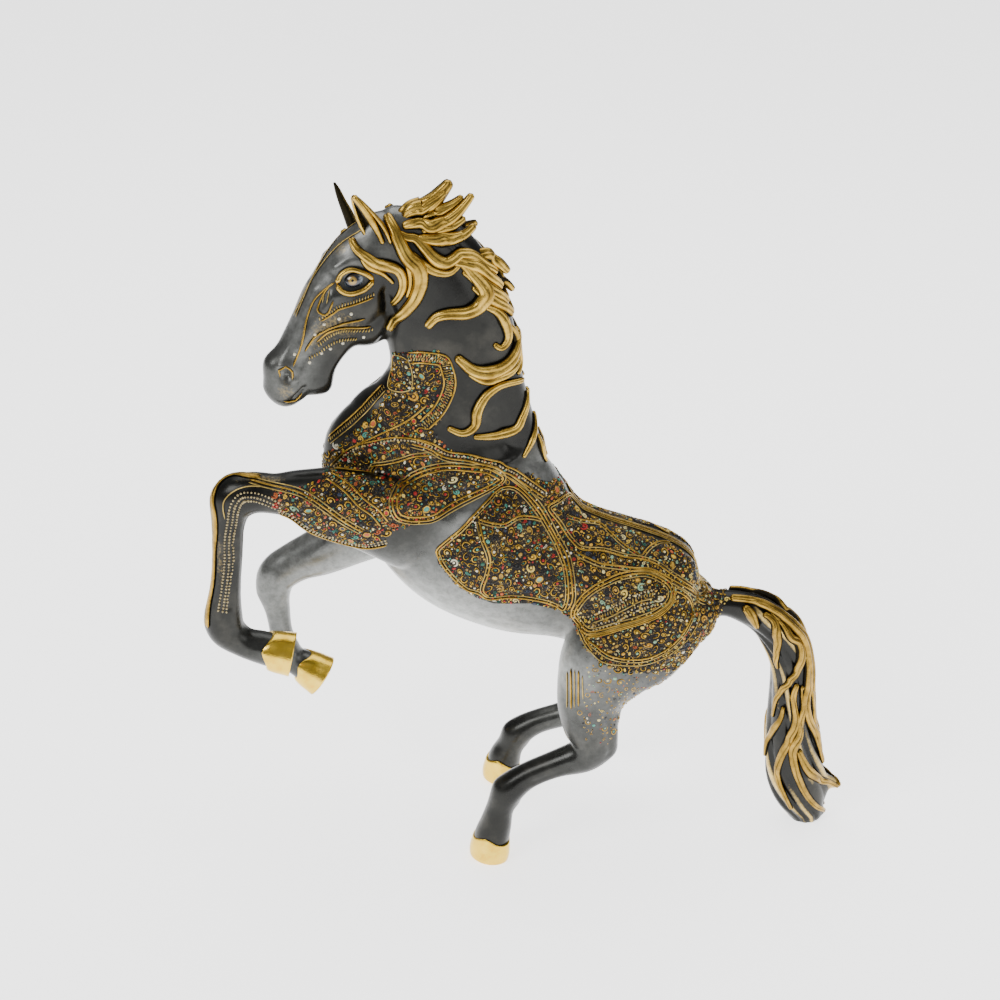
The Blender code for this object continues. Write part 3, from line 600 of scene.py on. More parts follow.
def brass_material(name, low, high, roughness, recess_and_shade):
    """Brass, darker where its relief attribute is low: painted shade on the undersides of wires and locks,
    and darker in the grooves of locks and in other recesses.
    """
    material, tree, shader = new_material(name, 1.0, roughness)
    cloud = noise(tree, 160, 5, 0.6)
    fine = noise(tree, 1400, 4, 0.7)
    metal = ramp(tree, cloud, [(0.32, low), (0.68, high)])
    speckle = maths(tree, "MULTIPLY", maths(tree, "SUBTRACT", fine, 0.5), 0.5)
    ridge = maths(tree, "ADD", attribute(tree, "ridge"), speckle)
    # the dark colour: painted shade under wires and locks, and the recesses
    tint = mix_colour(tree, span(tree, ridge, 0.12, 0.5), (*recess_and_shade, 1), metal)
    tree.links.new(tint, shader.inputs["Base Color"])
    tree.links.new(span(tree, ridge, 0.1, 0.8, roughness + 0.2, roughness - 0.04), shader.inputs["Roughness"])
    bump(tree, fine, 0.22, 0.0004, shader)
    return material


FLOOR_GLOW = 2.2            # keeps the floor near white
FLOOR_REACH = 4000          # mm from the middle to an edge
FLOOR_ROWS = 9
WORLD_STRENGTH = 0.34
CAMERA_ELEVATION = math.radians(28)
CAMERA_DISTANCE = 0.9
CAMERA_TARGET = np.array([-11.1, 0, 173.09])    # in the modelling frame, in mm
CAMERA_LENS, CAMERA_SENSOR = 72.81, 36
LIGHT_TARGET = (-0.01, 0, 0.15)
LIGHTS = {                  # place and size in metres, power in watts
    "top_softbox": ((0.1, 0.35, 1.1), (1.4, 1.0), 11),
    "key_softbox": ((-0.8, -0.7, 0.95), (0.5, 0.5), 8),
    "fill_softbox": ((0.9, -0.8, 0.6), (0.6, 0.6), 3),
}


def floor_material():
    material, tree, shader = new_material("pale_floor", 0.0, 0.7)
    tree.links.new(ramp(tree, noise(tree, 30), [(0.3, (0.90, 0.90, 0.90)), (0.7, (0.92, 0.92, 0.92))]),
                   shader.inputs["Base Color"])
    shader.inputs["Emission Color"].default_value = (1, 1, 1, 1)
    shader.inputs["Emission Strength"].default_value = FLOOR_GLOW
    return material


# ---------------------------------------------------------------- stage
def area_light(name, place, size, power):
    light = bpy.data.lights.new(name, "AREA")
    light.shape = "RECTANGLE"
    light.size, light.size_y = size
    light.energy = power
    obj = bpy.data.objects.new(name, light)
    obj.location = place
    obj.rotation_euler = (Vector(LIGHT_TARGET) - Vector(place)).to_track_quat("-Z", "Y").to_euler()
    bpy.context.scene.collection.objects.link(obj)


def make_stage():
    """Pale floor, soft studio light and the camera, above level on the horse's left."""
    target = Vector((CAMERA_TARGET + SHIFT) * MM)
    camera = bpy.data.cameras.new("camera")
    camera.lens, camera.sensor_width = CAMERA_LENS, CAMERA_SENSOR
    obj = bpy.data.objects.new("camera", camera)
    away = Vector((0, -math.cos(CAMERA_ELEVATION), math.sin(CAMERA_ELEVATION)))
    obj.location = target + away * CAMERA_DISTANCE
    obj.rotation_euler = (target - obj.location).to_track_quat("-Z", "Y").to_euler()
    bpy.context.scene.collection.objects.link(obj)
    bpy.context.scene.camera = obj
    rows = np.linspace(-1, 1, FLOOR_ROWS) * FLOOR_REACH
    x, y = np.meshgrid(rows, rows, indexing="ij")
    places = np.stack([x.ravel(), y.ravel(), np.zeros(x.size)], 1)
    faces = grid_faces(FLOOR_ROWS, FLOOR_ROWS, False)[:, ::-1]
    floor = mesh_object("floor", places, [faces], [floor_material()])
    for name, settings in LIGHTS.items():
        area_light(name, *settings)
    world = bpy.data.worlds.new("studio")
    bpy.context.scene.world = world
    world.use_nodes = True
    world.node_tree.nodes["Background"].inputs["Color"].default_value = (1, 1, 1, 1)
    world.node_tree.nodes["Background"].inputs["Strength"].default_value = WORLD_STRENGTH


# ---------------------------------------------------------------- ornament
class Pile:
    """Meshes gathered for one piece."""

    def __init__(self):
        self.vertices, self.faces, self.slots, self.count = [], [], [], 0
        self.values = {"ridge": [], "hue": []}

    def add(self, vertices, faces, slot, ridge=1.0, hue=0.0):
        """faces: index arrays; slot: one number, or one for each; ridge and hue: numbers or arrays."""
        slots = slot if isinstance(slot, (list, tuple)) else [slot] * len(faces)
        for array, number in zip(faces, slots):
            self.faces.append(np.asarray(array, int) + self.count)
            self.slots.append(np.full(len(array), number))
        self.vertices.append(vertices)
        self.values["ridge"].append(np.broadcast_to(ridge, len(vertices)))
        self.values["hue"].append(np.broadcast_to(hue, len(vertices)))
        self.count += len(vertices)

    def make(self, name, materials, replaced=(), slot=None):
        values = {key: np.concatenate(columns) for key, columns in self.values.items()}
        obj = mesh_object(name, np.vstack(self.vertices), self.faces, materials, self.slots, values)
        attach(obj, "root")
        if replaced:
            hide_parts(*replaced)
        return obj


def tube(pile, places, normals, radius, slot, height=None, sides=6, closed=False, ridge=1.0):
    """A wire half sunk in the surface that it is laid on, tapered at its ends if it is open."""
    height = radius if height is None else height
    along = unit(np.roll(places, -1, 0) - np.roll(places, 1, 0)) if closed else tangents(places)
    across = unit(np.cross(normals, along))
    turn = np.linspace(0, 2 * math.pi, sides, endpoint=False)
    size = np.ones(len(places))
    if not closed:
        place = np.arange(len(places))
        size = np.clip(np.minimum(place + 0.4, place[::-1] + 0.4) / 2.5, 0.15, 1)
    vertices = (places[:, None] + across[:, None] * (radius * size[:, None] * np.cos(turn))[..., None]
                + normals[:, None] * (height * size[:, None] * (np.sin(turn) + 0.25))[..., None])
    rows = len(places)
    faces = tube_faces(rows, sides)
    if closed:
        faces = [grid_faces(rows + 1, sides, True) % (rows * sides)]
    # painted shade: each wire darker on its underside, towards the skin
    lit = np.tile(np.clip(0.12 + np.sin(turn), 0, 1) * ridge, rows)
    pile.add(vertices.reshape(-1, 3), faces, slot, ridge=lit)


def lathe(profile, segments, slots):
    """A stamp template: rings of (radius, height), the last one a point. Faces come one array a ring gap."""
    turn = np.linspace(0, 2 * math.pi, segments, endpoint=False)
    rings = [np.stack([r * np.cos(turn), r * np.sin(turn), np.full(segments, h)], 1) for r, h in profile[:-1]]
    faces = [grid_faces(2, segments, True) + i * segments for i in range(len(rings) - 1)]
    tip, last = len(rings) * segments, (len(rings) - 1) * segments
    around = np.arange(segments)
    faces.append(np.stack([last + around, last + (around + 1) % segments, np.full(segments, tip)], 1))
    return np.vstack(rings + [[[0, 0, profile[-1][1]]]]), faces + [around[None, ::-1]], slots + [slots[0]]


# materials of the inlay, in the order of its material slots
GOLD, ENAMEL, NIELLO, PALE, SEED = range(5)
# a rimmed enamel cell, a smaller one, a plain pellet, a chip, and an eyelet with a bead in a black pit
CELL = lathe([(1.0, -0.3), (0.95, 0.42), (0.74, 0.40), (0.62, 0.20), (0.3, 0.34), (0, 0.36)], 9,
             [GOLD, GOLD, GOLD, ENAMEL, ENAMEL])
SMALL_CELL = lathe([(1.0, -0.3), (0.9, 0.5), (0.6, 0.42), (0, 0.46)], 7, [GOLD, GOLD, ENAMEL])
PELLET = lathe([(1.0, -0.3), (0.86, 0.45), (0.45, 0.8), (0, 0.9)], 7, [GOLD] * 3)
CHIP = lathe([(1.0, -0.3), (0.9, 0.35), (0.5, 0.5), (0, 0.52)], 6, [ENAMEL] * 3)
EYELET = lathe([(1.0, -0.3), (0.95, 0.5), (0.72, 0.45), (0.66, 0.05), (0.36, 0.1), (0.28, 0.45), (0, 0.55)],
               8,
               [GOLD, GOLD, NIELLO, NIELLO, ENAMEL, ENAMEL])
SCROLL_STEPS = 11


def scroll():
    """A C-shaped wire, as a stamp template."""
    turn = np.linspace(0.3, 5.0, SCROLL_STEPS)
    reach = np.linspace(1, 0.72, SCROLL_STEPS)
    centre = np.stack([np.cos(turn) * reach, np.sin(turn) * reach, np.full(SCROLL_STEPS, 0.1)], 1)
    out = unit(centre * (1, 1, 0))
    size = np.interp(np.arange(SCROLL_STEPS), [0, 2, 8, 10], [0.12, 0.27, 0.27, 0.12])[:, None]
    ring = [centre + out * size, centre + UP * size * 1.6, centre - out * size, centre - UP * size]
    faces = [part[:, ::-1] for part in tube_faces(SCROLL_STEPS, len(ring))]
    return np.stack(ring, 1).reshape(-1, 3), faces, [GOLD] * 3


def in_slot(template, slot):
    """A template all in one material."""
    shape, faces, _ = template
    return shape, faces, [slot] * len(faces)


SCROLL = scroll()
ENAMEL_SCROLL = in_slot(SCROLL, ENAMEL)
PALE_PELLET = in_slot(PELLET, PALE)
SEED_PELLET = in_slot(PELLET, SEED)
PEARL = in_slot(PELLET, ENAMEL)
PEARL_HUE = 0.1


def flat_axes(normals):
    """Two directions along the surface at each place."""
    first = unit(np.cross(normals, np.where(np.abs(normals[:, :1]) > 0.8, ACROSS, [1.0, 0, 0])))
    return first, np.cross(normals, first)


def stamp(pile, template, places, normals, angles, sizes, hues=0.0):
    """Copies of a template on the surface: sizes are (along, across, high) of each."""
    shape, faces, slots = template
    count, corners = len(places), len(shape)
    if not count:
        return
    first, second = flat_axes(normals)
    c, s = np.cos(angles)[:, None], np.sin(angles)[:, None]
    axes = np.stack([first * c + second * s, second * c - first * s, normals], 1)
    vertices = places[:, None] + np.einsum("kv,nv,nvd->nkd", shape, sizes, axes)
    moved = [(f[None] + (np.arange(count) * corners)[:, None, None]).reshape(-1, f.shape[1]) for f in faces]
    hue = np.repeat(np.broadcast_to(hues, count), corners)
    pile.add(vertices.reshape(-1, 3), moved, slots, hue=hue)


def row_angles(places, normals):
    """The angles that turn stamps along a row."""
    first, second = flat_axes(normals)
    along = tangents(places)
    return np.arctan2((along * second).sum(1), (along * first).sum(1))


def inside(polygon, points):
    """Whether points are inside a polygon of (x, z)."""
    polygon = np.asarray(polygon, float)
    x, z = points[:, 0], points[:, 2]
    found = np.zeros(len(points), bool)
    for (x1, z1), (x2, z2) in zip(polygon, np.roll(polygon, -1, 0)):
        crosses = (z1 > z) != (z2 > z)
        found ^= crosses & (x < (x2 - x1) * (z - z1) / (z2 - z1 + 1e-12) + x1)
    return found


# wires of the left flank: points and what runs along them, as (sideways shift, style); panels are closed
# loops, drawn anticlockwise as seen from the left, so that a positive shift lies outside them
SHOULDER = [(-10, -16, 192), (-15, -17, 197), (-25, -18, 199), (-33, -19, 200), (-41, -20, 199),
            (-48, -20, 196),
            (-54, -24, 193), (-57, -30, 190), (-57, -32, 186), (-55, -32, 182), (-51, -31, 180),
            (-46, -29, 179),
            (-39, -27, 179), (-32, -24, 182), (-25, -22, 185), (-17, -19, 188)]
BARREL = [(-10, -16, 188), (-15, -20, 185), (-22, -25, 179), (-28, -27, 173), (-38, -28, 164),
          (-38, -28, 159),
          (-32, -29, 150), (-26, -28, 144), (-21, -29, 142), (-16, -28, 139), (-5, -29, 140), (6, -29, 138),
          (13, -28, 135), (17, -27, 132), (19, -27, 139), (18, -25, 152), (15, -22, 160), (11, -20, 168),
          (5, -18, 178),
          (-3, -16, 187)]
HIP = [(22, -27, 129), (24, -28, 136), (29, -27, 142), (36, -26, 146), (44, -24, 148), (53, -22, 148),
       (60, -22, 145),
       (64, -23, 141), (64, -26, 137), (59, -28, 133), (51, -30, 130), (42, -32, 128), (33, -32, 125),
       (28, -31, 124)][::-1]
HAUNCH = [(28, -32, 121), (31, -35, 119), (37, -37, 115), (44, -37, 113), (53, -35, 112), (61, -32, 114),
          (67, -29, 118), (72, -25, 124), (75, -21, 130), (72, -22, 136), (67, -24, 140), (66, -26, 136),
          (60, -29, 131),
          (51, -31, 128), (42, -33, 126), (34, -33, 123)]
CROUP = [(14, -14, 180), (10, -17, 178), (15, -18, 171), (20, -19, 163), (25, -20, 159), (35, -19, 158),
         (44, -19, 155),
         (52, -18, 153), (59, -18, 150), (66, -19, 145), (74, -17, 138), (80, -12, 131), (84, -2, 131),
         (79, -1, 143),
         (68, -1, 154), (54, -1, 162), (40, -1, 168), (27, -1, 174), (19, -3, 178)]
NECK_BIB = [(-57, -5, 245), (-58, -8, 233), (-64, -11, 221), (-73, -11, 212), (-81, -9, 205), (-76, -12, 203),
            (-66, -15, 209), (-56, -16, 212), (-47, -16, 214), (-42, -17, 216), (-36, -15, 222),
            (-32, -15, 229),
            (-30, -14, 236), (-31, -13, 243), (-34, -13, 249), (-43, -12, 250), (-50, -9, 249)]
BREAST = [(-84, -22, 200), (-75, -31, 197), (-69, -33, 191), (-63, -33, 186), (-60, -33, 180),
          (-57, -32, 182),
          (-60, -31, 187), (-58, -27, 193), (-52, -22, 199), (-42, -19, 203), (-38, -18, 207),
          (-47, -17, 212),
          (-57, -16, 211), (-66, -14, 208), (-76, -12, 203)]
FIELD = [(-57, 246), (-49, 250), (-37, 251), (-31, 246), (-30, 235), (-34, 224), (-40, 216), (-33, 207),
         (-18, 202),
         (-4, 196), (6, 190), (14, 186), (24, 182), (40, 175), (58, 167), (76, 153), (88, 138), (92, 124),
         (86, 110),
         (78, 103), (68, 101), (56, 104), (44, 106), (33, 111), (26, 118), (20, 128), (14, 133), (2, 137),
         (-14, 137),
         (-22, 140), (-30, 146), (-38, 157), (-38, 164), (-26, 175), (-14, 186), (-17, 189), (-30, 183),
         (-46, 178),
         (-57, 176), (-62, 172), (-70, 167), (-82, 170), (-92, 177), (-102, 184), (-108, 188), (-108, 195),
         (-98, 196),
         (-88, 199), (-82, 205), (-73, 213), (-64, 222), (-58, 232)]
PANEL_LOOPS = {"neck": NECK_BIB, "breast": BREAST, "shoulder": SHOULDER, "barrel": BARREL, "hip": HIP,
               "haunch": HAUNCH, "croup": CROUP}
DOUBLE = [(0, "gold"), (-1.3, "pale")]
PANEL_WIRES = {
    "neck": [(NECK_BIB[9:17], False, [(0, "gold"), (-1.6, "bars"), (-3.2, "bars"), (-4.9, "gold")]),
             ([(-60, -8, 231), (-66, -8, 222), (-74, -8, 214), (-83, -6, 204)], False,
              [(0, "pale"), (1.8, "bars"), (3.6, "gold")]),
             ([(-42, -15, 227), (-50, -15, 220), (-60, -14, 214), (-74, -12, 206)], False, [(0, "gold")]),
             ([(-57, -5, 245), (-50, -10, 245), (-49, -12, 233), (-59, -8, 232)], True, [(0, "pale")])],
    "breast": [([(-84, -9, 195), (-78, -11, 203), (-72, -13, 207), (-64, -15, 210), (-57, -16, 212),
                 (-48, -17, 212),
                 (-40, -18, 209)], False, [(0, "gold"), (1.2, "beads")]),
               ([(-82, -24, 201), (-73, -22, 199), (-65, -18, 199), (-56, -18, 201), (-48, -19, 204),
                 (-40, -19, 205)],
                False, [(0, "gold"), (-1.3, "pale")]),
               ([(-84, -27, 201), (-75, -31, 197), (-69, -33, 191), (-63, -33, 186), (-59, -33, 180)], False,
                [(0, "gold"), (1.9, "bars"), (3.8, "gold")])],
    "shoulder": [(SHOULDER, True, [(0, "gold"), (1.4, "pale"), (-1.9, "gold")])],
    "barrel": [(BARREL, True, DOUBLE),
               ([(-21, -26, 177), (-19, -28, 169), (-16, -29, 160), (-17, -30, 152), (-19, -29, 144),
                 (-16, -28, 140)],
                False, [(-0.6, "gold"), (0.7, "pale")]),
               ([(-21, -26, 177), (-15, -26, 175), (-9, -25, 174), (-3, -22, 176), (3, -20, 175),
                 (8, -19, 173)],
                False, [(-0.6, "gold"), (0.7, "pale")])],
    "hip": [(HIP, True, [(0, "gold"), (-1.3, "pale"), (1.5, "gold")]),
            ([(29, -30, 128), (38, -30, 132), (48, -27, 137), (56, -26, 139)], False,
             [(-2.6, "beads"), (-0.9, "bars"), (0.9, "pale"), (2.5, "beads"), (4.2, "beads")])],
    "haunch": [(HAUNCH, True, [(0, "gold"), (1.4, "pale")])],
    "croup": [(CROUP, True, DOUBLE),
              ([(20, -15, 173), (32, -8, 166), (38, -11, 162), (44, -15, 158), (51, -17, 154)], False,
               [(-0.6, "gold"), (0.7, "pale")]),
              ([(52, -17, 154), (56, -12, 156), (61, -7, 156), (66, -4, 154)], False,
               [(-0.6, "gold"), (0.7, "pale")])],
}
FIELD_WIRES = [
    ([(-49, -17, 211), (-41, -18, 209), (-34, -18, 205), (-25, -17, 203), (-17, -16, 200), (-10, -15, 197),
      (-5, -14, 194), (2, -15, 189), (10, -16, 184)], False,
     [(-1.4, "gold"), (0, "beads"), (1.4, "gold"), (2.8, "pale")]),
    ([(-8, -16, 195), (0, -16, 188), (7, -17, 180), (11, -18, 173), (15, -20, 166), (19, -22, 159),
      (21, -25, 152),
      (22, -27, 144), (22, -28, 137), (20, -27, 131)], False, [(0, "pale"), (1.4, "gold")]),
    ([(22, -21, 159), (26, -21, 156), (33, -22, 153), (40, -22, 152), (48, -22, 151), (56, -21, 150),
      (66, -21, 144),
      (74, -19, 138), (82, -11, 127)], False, [(0, "gold"), (1.5, "pale")]),
    ([(24, -26, 126), (27, -31, 121), (30, -35, 116)], False, [(0, "gold"), (1.4, "pale")]),
    ([(28, -33, 117), (34, -37, 112), (44, -38, 110), (54, -36, 109), (63, -32, 111), (71, -27, 116),
      (78, -20, 124)],
     False, [(0, "pale")]),
    ([(-118, -28, 197), (-112, -30, 197), (-106, -31, 196), (-98, -33, 195), (-92, -35, 193), (-85, -36, 188),
      (-78, -36, 182), (-70, -34, 176)], False, [(0, "gold"), (1.5, "pale"), (-1.5, "pale")]),
    ([(-106, -31, 184), (-99, -32, 179), (-90, -32, 172), (-80, -31, 168), (-70, -31, 166), (-60, -31, 168)],
     False,
     [(0, "gold"), (-1.5, "beads"), (-3.0, "beads")]),
]
LEG_WIRES = [
    ([(-113, -28, 199), (-119, -27, 200), (-125, -24, 199), (-130, -25, 195), (-133, -28, 190),
      (-133, -30, 182),
      (-134, -30, 172), (-136, -29, 162), (-137, -29, 151), (-139, -29, 139), (-140, -30, 131),
      (-140, -30, 125)],
     False, [(0, "band"), (1.7, "pale")]),
    ([(-129, -32, 181), (-129, -32, 189), (-125, -32, 194), (-119, -31, 196), (-112, -31, 196)], False,
     [(0, "pale")]),
    ([(-104, -33, 189), (-110, -33, 192), (-116, -33, 194), (-122, -32, 193), (-126, -32, 188),
      (-128, -32, 180),
      (-130, -32, 170), (-131, -32, 158), (-133, -32, 146), (-135, -32, 135)], False,
     [(0, "beads"), (-2.0, "beads"), (-3.9, "beads")]),
]
GASKIN_BARS = [[(19, -34, 105), (19, -37, 87)], [(20.6, -35, 107), (20.8, -38, 87)],
               [(22.2, -36, 107), (22.4, -38, 88)],
               [(23.8, -37, 107), (24, -39, 89)], [(25.4, -38, 105), (26, -39, 93)]]
GASKIN = [(27, 112), (40, 106), (58, 102), (70, 101), (66, 92), (54, 84), (46, 74), (36, 66), (28, 70),
          (24, 84), (28, 96)]
HEAD_WIRES = [
    ([(-79, -15, 283), (-83, -15, 280), (-88, -15, 275), (-91, -16, 268), (-93, -18, 259), (-96, -19, 251),
      (-98, -20, 247)], False, [(0, "gold")]),
    ([(-81, -15, 282), (-84, -15, 277), (-86, -16, 271), (-83, -17, 270), (-80, -17, 276)], False,
     [(0, "gold")]),
    ([(-82, -15, 280), (-83, -16, 274)], False, [(-1, "pale"), (1, "pale")]),
    ([(-86, -17, 268), (-81, -17, 271), (-78, -17, 273), (-71, -16, 275), (-64, -13, 277)], False,
     [(0, "bars"), (1.2, "gold")]),
    ([(-93, -18, 253), (-91, -18, 256), (-87, -18, 260), (-82, -17, 263), (-77, -17, 265), (-73, -15, 266),
      (-68, -13, 267)], False, [(0, "gold")]),
    ([(-88, -18, 257), (-83, -17, 261), (-78, -17, 263), (-72, -14, 263), (-66, -10, 262)], False,
     [(0, "gold"), (1.6, "bars")]),
    ([(-91, -18, 250), (-87, -18, 252), (-83, -17, 255), (-78, -16, 257), (-72, -12, 257)], False,
     [(0, "bars")]),
    ([(-104, -19, 242), (-103.5, -19, 246), (-100.5, -20, 247.3), (-98, -20, 245), (-98, -20, 241)], False,
     [(0, "gold")]),
    ([(-103, -18, 233), (-100.5, -19, 231), (-98, -18, 231), (-95, -17, 234)], False, [(0, "gold")]),
    ([(-68, -9, 305), (-78, -8, 296), (-88, -9, 281), (-96, -11, 266)], False, [(0, "pale")]),
]
PEARLS = [(-73, -16, 269.5), (-78, -17, 267.5), (-84, -18, 264.5), (-88, -18, 260.5), (-69, -10, 258),
          (-77, -15, 255.5),
          (-82, -17, 253.5), (-86, -17, 252), (-91, -18, 248), (-97, -18, 252)]
GASKIN_SHARE, GASKIN_LIFT = 0.14, -0.2
WIRE_LIFT = 0.25
GOLD_WIRE, PALE_WIRE = 0.46, 0.30               # radii
BAND_WIDTH, BAND_HEIGHT = 1.35, 0.55
BEAD, BAR, PEARL_SIZE = (0.55, 0.5, 0.5), (0.95, 0.32, 0.45), 0.8
BAR_LEAN = 1.25
STEPS = {"beads": 1.55, "bars": 1.25}           # a wire's own step is WIRE_STEP
WIRE_STEP = 0.8
DISC_CELL = 3.0             # discs nearer than this are always compared
PLATE_LIFT = {"panel": 0.28, "field": 0.16}
YELLOW_FROM = 22            # the enamel is mostly yellow behind this x
CHIP_RADII = [1.9, 1.4, 1.0, 0.7, 0.46]
CHIP_SHARES = [0.03, 0.07, 0.15, 0.3, 0.45]


def run_row(pile, surface, points, closed, shift, style, rng, lean):
    """One wire or row of beads or bars along a path."""
    step = STEPS.get(style, WIRE_STEP)
    places, normals = surface.lay(points, step, shift, closed)
    if closed:
        places, normals = places[:-1], normals[:-1]
    places = places + normals * WIRE_LIFT
    count = len(places)
    if style == "gold":
        tube(pile, places, normals, GOLD_WIRE, GOLD, closed=closed)
    elif style == "band":
        tube(pile, places, normals, BAND_WIDTH, GOLD, height=BAND_HEIGHT, closed=closed, ridge=0.75)
    elif style == "pale":
        tube(pile, places, normals, PALE_WIRE, PALE, closed=closed)
    elif style == "beads":
        sizes = np.tile(BEAD, (count, 1)) * rng.uniform(0.75, 1.15, (count, 1))
        stamp(pile, SEED_PELLET, places, normals, rng.uniform(0, 6, count), sizes, rng.uniform(0, 1, count))
    else:
        angles = row_angles(places, normals) + lean
        sizes = np.tile(BAR, (count, 1)) * rng.uniform(0.8, 1.15, (count, 1))
        stamp(pile, PALE_PELLET, places, normals, angles, sizes)
    return places


def run_wires(pile, surface, wires, place, turn, rng):
    """Wires with all that runs along them. place moves their points, turn is 1 or -1; gives what was laid."""
    return [run_row(pile, surface, place(points), closed, turn * shift, style, rng, turn * BAR_LEAN)
            for points, closed, styles in wires for shift, style in styles]


def pack_discs(points, radii, blocked, margin):
    """Indices of discs that keep clear of those before them and of blocked points."""
    grid, kept = {}, []
    for i, (point, radius) in enumerate(zip(points, radii)):
        if blocked is not None and blocked.find(point)[2] < radius + margin:
            continue
        key = tuple(np.floor(point / DISC_CELL).astype(int))
        close = [j for a in (-1, 0, 1) for b in (-1, 0, 1) for c in (-1, 0, 1)
                 for j in grid.get((key[0] + a, key[1] + b, key[2] + c), ())]
        if close and (np.linalg.norm(points[close] - point, axis=1) < radii[close] + radius).any():
            continue
        grid.setdefault(key, []).append(i)
        kept.append(i)
    return np.array(kept)


def tree_of(points):
    tree = KDTree(len(points))
    for i, point in enumerate(points):
        tree.insert(point, i)
    tree.balance()
    return tree


# ---------------------------------------------------------------- pieces
def on_flank(points, side):
    """Points of the left flank, or their mirror images."""
    return np.asarray(points, float) * (1, -side, 1)


def plate(pile, surface, polygon, loop, side, lift):
    """A thin dark plate on the skin inside a polygon of (x, z), its edge drawn in to the loop."""
    vertices, normals = surface.vertices, surface.normals
    chosen = inside(polygon, vertices) & (vertices[:, 1] * side > 0.5) & (normals[:, 1] * side > 0.06)
    quads = surface.quads[chosen[surface.quads].all(1)]
    used, quads = np.unique(quads, return_inverse=True)
    quads = quads.reshape(-1, 4)
    count = len(used)
    edges = np.vstack([quads[:, [i, (i + 1) % 4]] for i in range(4)])
    edges = edges[~np.isin(edges[:, 0] * count + edges[:, 1], edges[:, 1] * count + edges[:, 0])]
    places = vertices[used].copy()
    rim = tree_of(loop)
    for i in np.unique(edges):
        place, _, distance = rim.find(places[i])
        if distance < 1.6 * GRAIN:
            places[i] = place
    top, low = places + normals[used] * lift, places - normals[used] * 0.5
    walls = np.stack([edges[:, 1], edges[:, 0], edges[:, 0] + count, edges[:, 1] + count], 1)
    pile.add(np.vstack([top, low]), [quads, quads[:, ::-1] + count, walls], NIELLO)


def chips(pile, surface, chosen, blocked, rng, lift):
    """Cells, chips, pellets and scrolls packed between the wires."""
    index = np.flatnonzero(chosen)
    index = index[rng.permutation(len(index))]
    places = surface.vertices[index] + rng.uniform(-0.3, 0.3, (len(index), 3))
    places, normals = surface.snap(places)
    radii = np.sort(rng.choice(CHIP_RADII, len(index), p=CHIP_SHARES))[::-1]
    kept = pack_discs(places, radii, blocked, 0.1)
    if not len(kept):
        return
    places, normals, radii = places[kept] + normals[kept] * lift, normals[kept], radii[kept]
    kind = rng.uniform(0, 1, len(kept))
    yellow = rng.uniform(0, 1, len(kept)) < np.where(places[:, 0] > YELLOW_FROM, 0.8, 0.22)
    hues = rng.uniform(0, 0.5, len(kept)) + 0.5 * yellow
    angles = rng.uniform(0, 2 * math.pi, len(kept))
    sizes = np.stack([radii * rng.uniform(0.92, 1.15, len(kept)), radii * rng.uniform(0.5, 0.95, len(kept)),
                      rng.uniform(0.45, 0.85, len(kept))], 1)
    large, small = radii > 1.2, radii < 0.5
    middle = ~large & ~small
    scrolls = kind < np.select([large, middle], [0.86, 0.5], 0)
    coloured = scrolls & (kind > np.where(large, 0.68, 0.25))
    groups = [(SCROLL, scrolls & ~coloured), (ENAMEL_SCROLL, coloured), (EYELET, large & (kind >= 0.93)),
              (CELL, large & ~scrolls & (kind < 0.93)), (SMALL_CELL, middle & ~scrolls & (kind < 0.6)),
              (CHIP, middle & (kind >= 0.6)),
              (CHIP, small & (kind < 0.8)), (PELLET, small & (kind >= 0.8))]
    for template, group in groups:
        stamp(pile, template, places[group], normals[group], angles[group], sizes[group], hues[group])
    sizes[:, :2] = radii[:, None] * 0.36
    stamp(pile, CHIP, places[scrolls], normals[scrolls], angles[scrolls], sizes[scrolls], hues[scrolls])


FAR_WIRES = 5               # how many of the field's wires the right side repeats


def make_inlay(surface, materials):
    """The seven inlaid panels of each flank and the inlaid ground between them."""
    vertices, normals = surface.vertices, surface.normals
    for side, side_name in SIDES:
        rng = np.random.default_rng(31 + side)
        outer = (vertices[:, 1] * side > 1) & (normals[:, 1] * side > 0.1)
        piles = {name: Pile() for name in PANEL_LOOPS}
        piles["flank"] = Pile()
        laid = []
        for name, wires in PANEL_WIRES.items():
            laid += run_wires(piles[name], surface, wires, lambda p: on_flank(p, side), -side, rng)
        wires = FIELD_WIRES if side == LEFT else FIELD_WIRES[:FAR_WIRES]
        laid += run_wires(piles["flank"], surface, wires, lambda p: on_flank(p, side), -side, rng)
        blocked = tree_of(np.vstack(laid))
        free = outer & inside(FIELD, vertices)
        for name, points in PANEL_LOOPS.items():
            loop = surface.lay(on_flank(points, side), 0.4, 0, True)[0]
            polygon = loop[:, [0, 2]]
            region = outer & inside(polygon, vertices)
            free &= ~region
            plate(piles[name], surface, polygon, loop, side, PLATE_LIFT["panel"])
            chips(piles[name], surface, region, blocked, rng, PLATE_LIFT["panel"])
            piles[name].make(f"{name}_inlay_{side_name}", materials, [f"{name}_panel_{side_name}"], "inlay")
        field = np.array(FIELD, float)
        edge = surface.snap(np.insert(evenly(np.vstack([field, field[:1]]), 0.5), 1, side * 26.0, 1))[0]
        plate(piles["flank"], surface, FIELD, edge, side, PLATE_LIFT["field"])
        chips(piles["flank"], surface, free, blocked, rng, PLATE_LIFT["field"])
        piles["flank"].make(f"flank_ground_{side_name}", materials, slot="inlay")


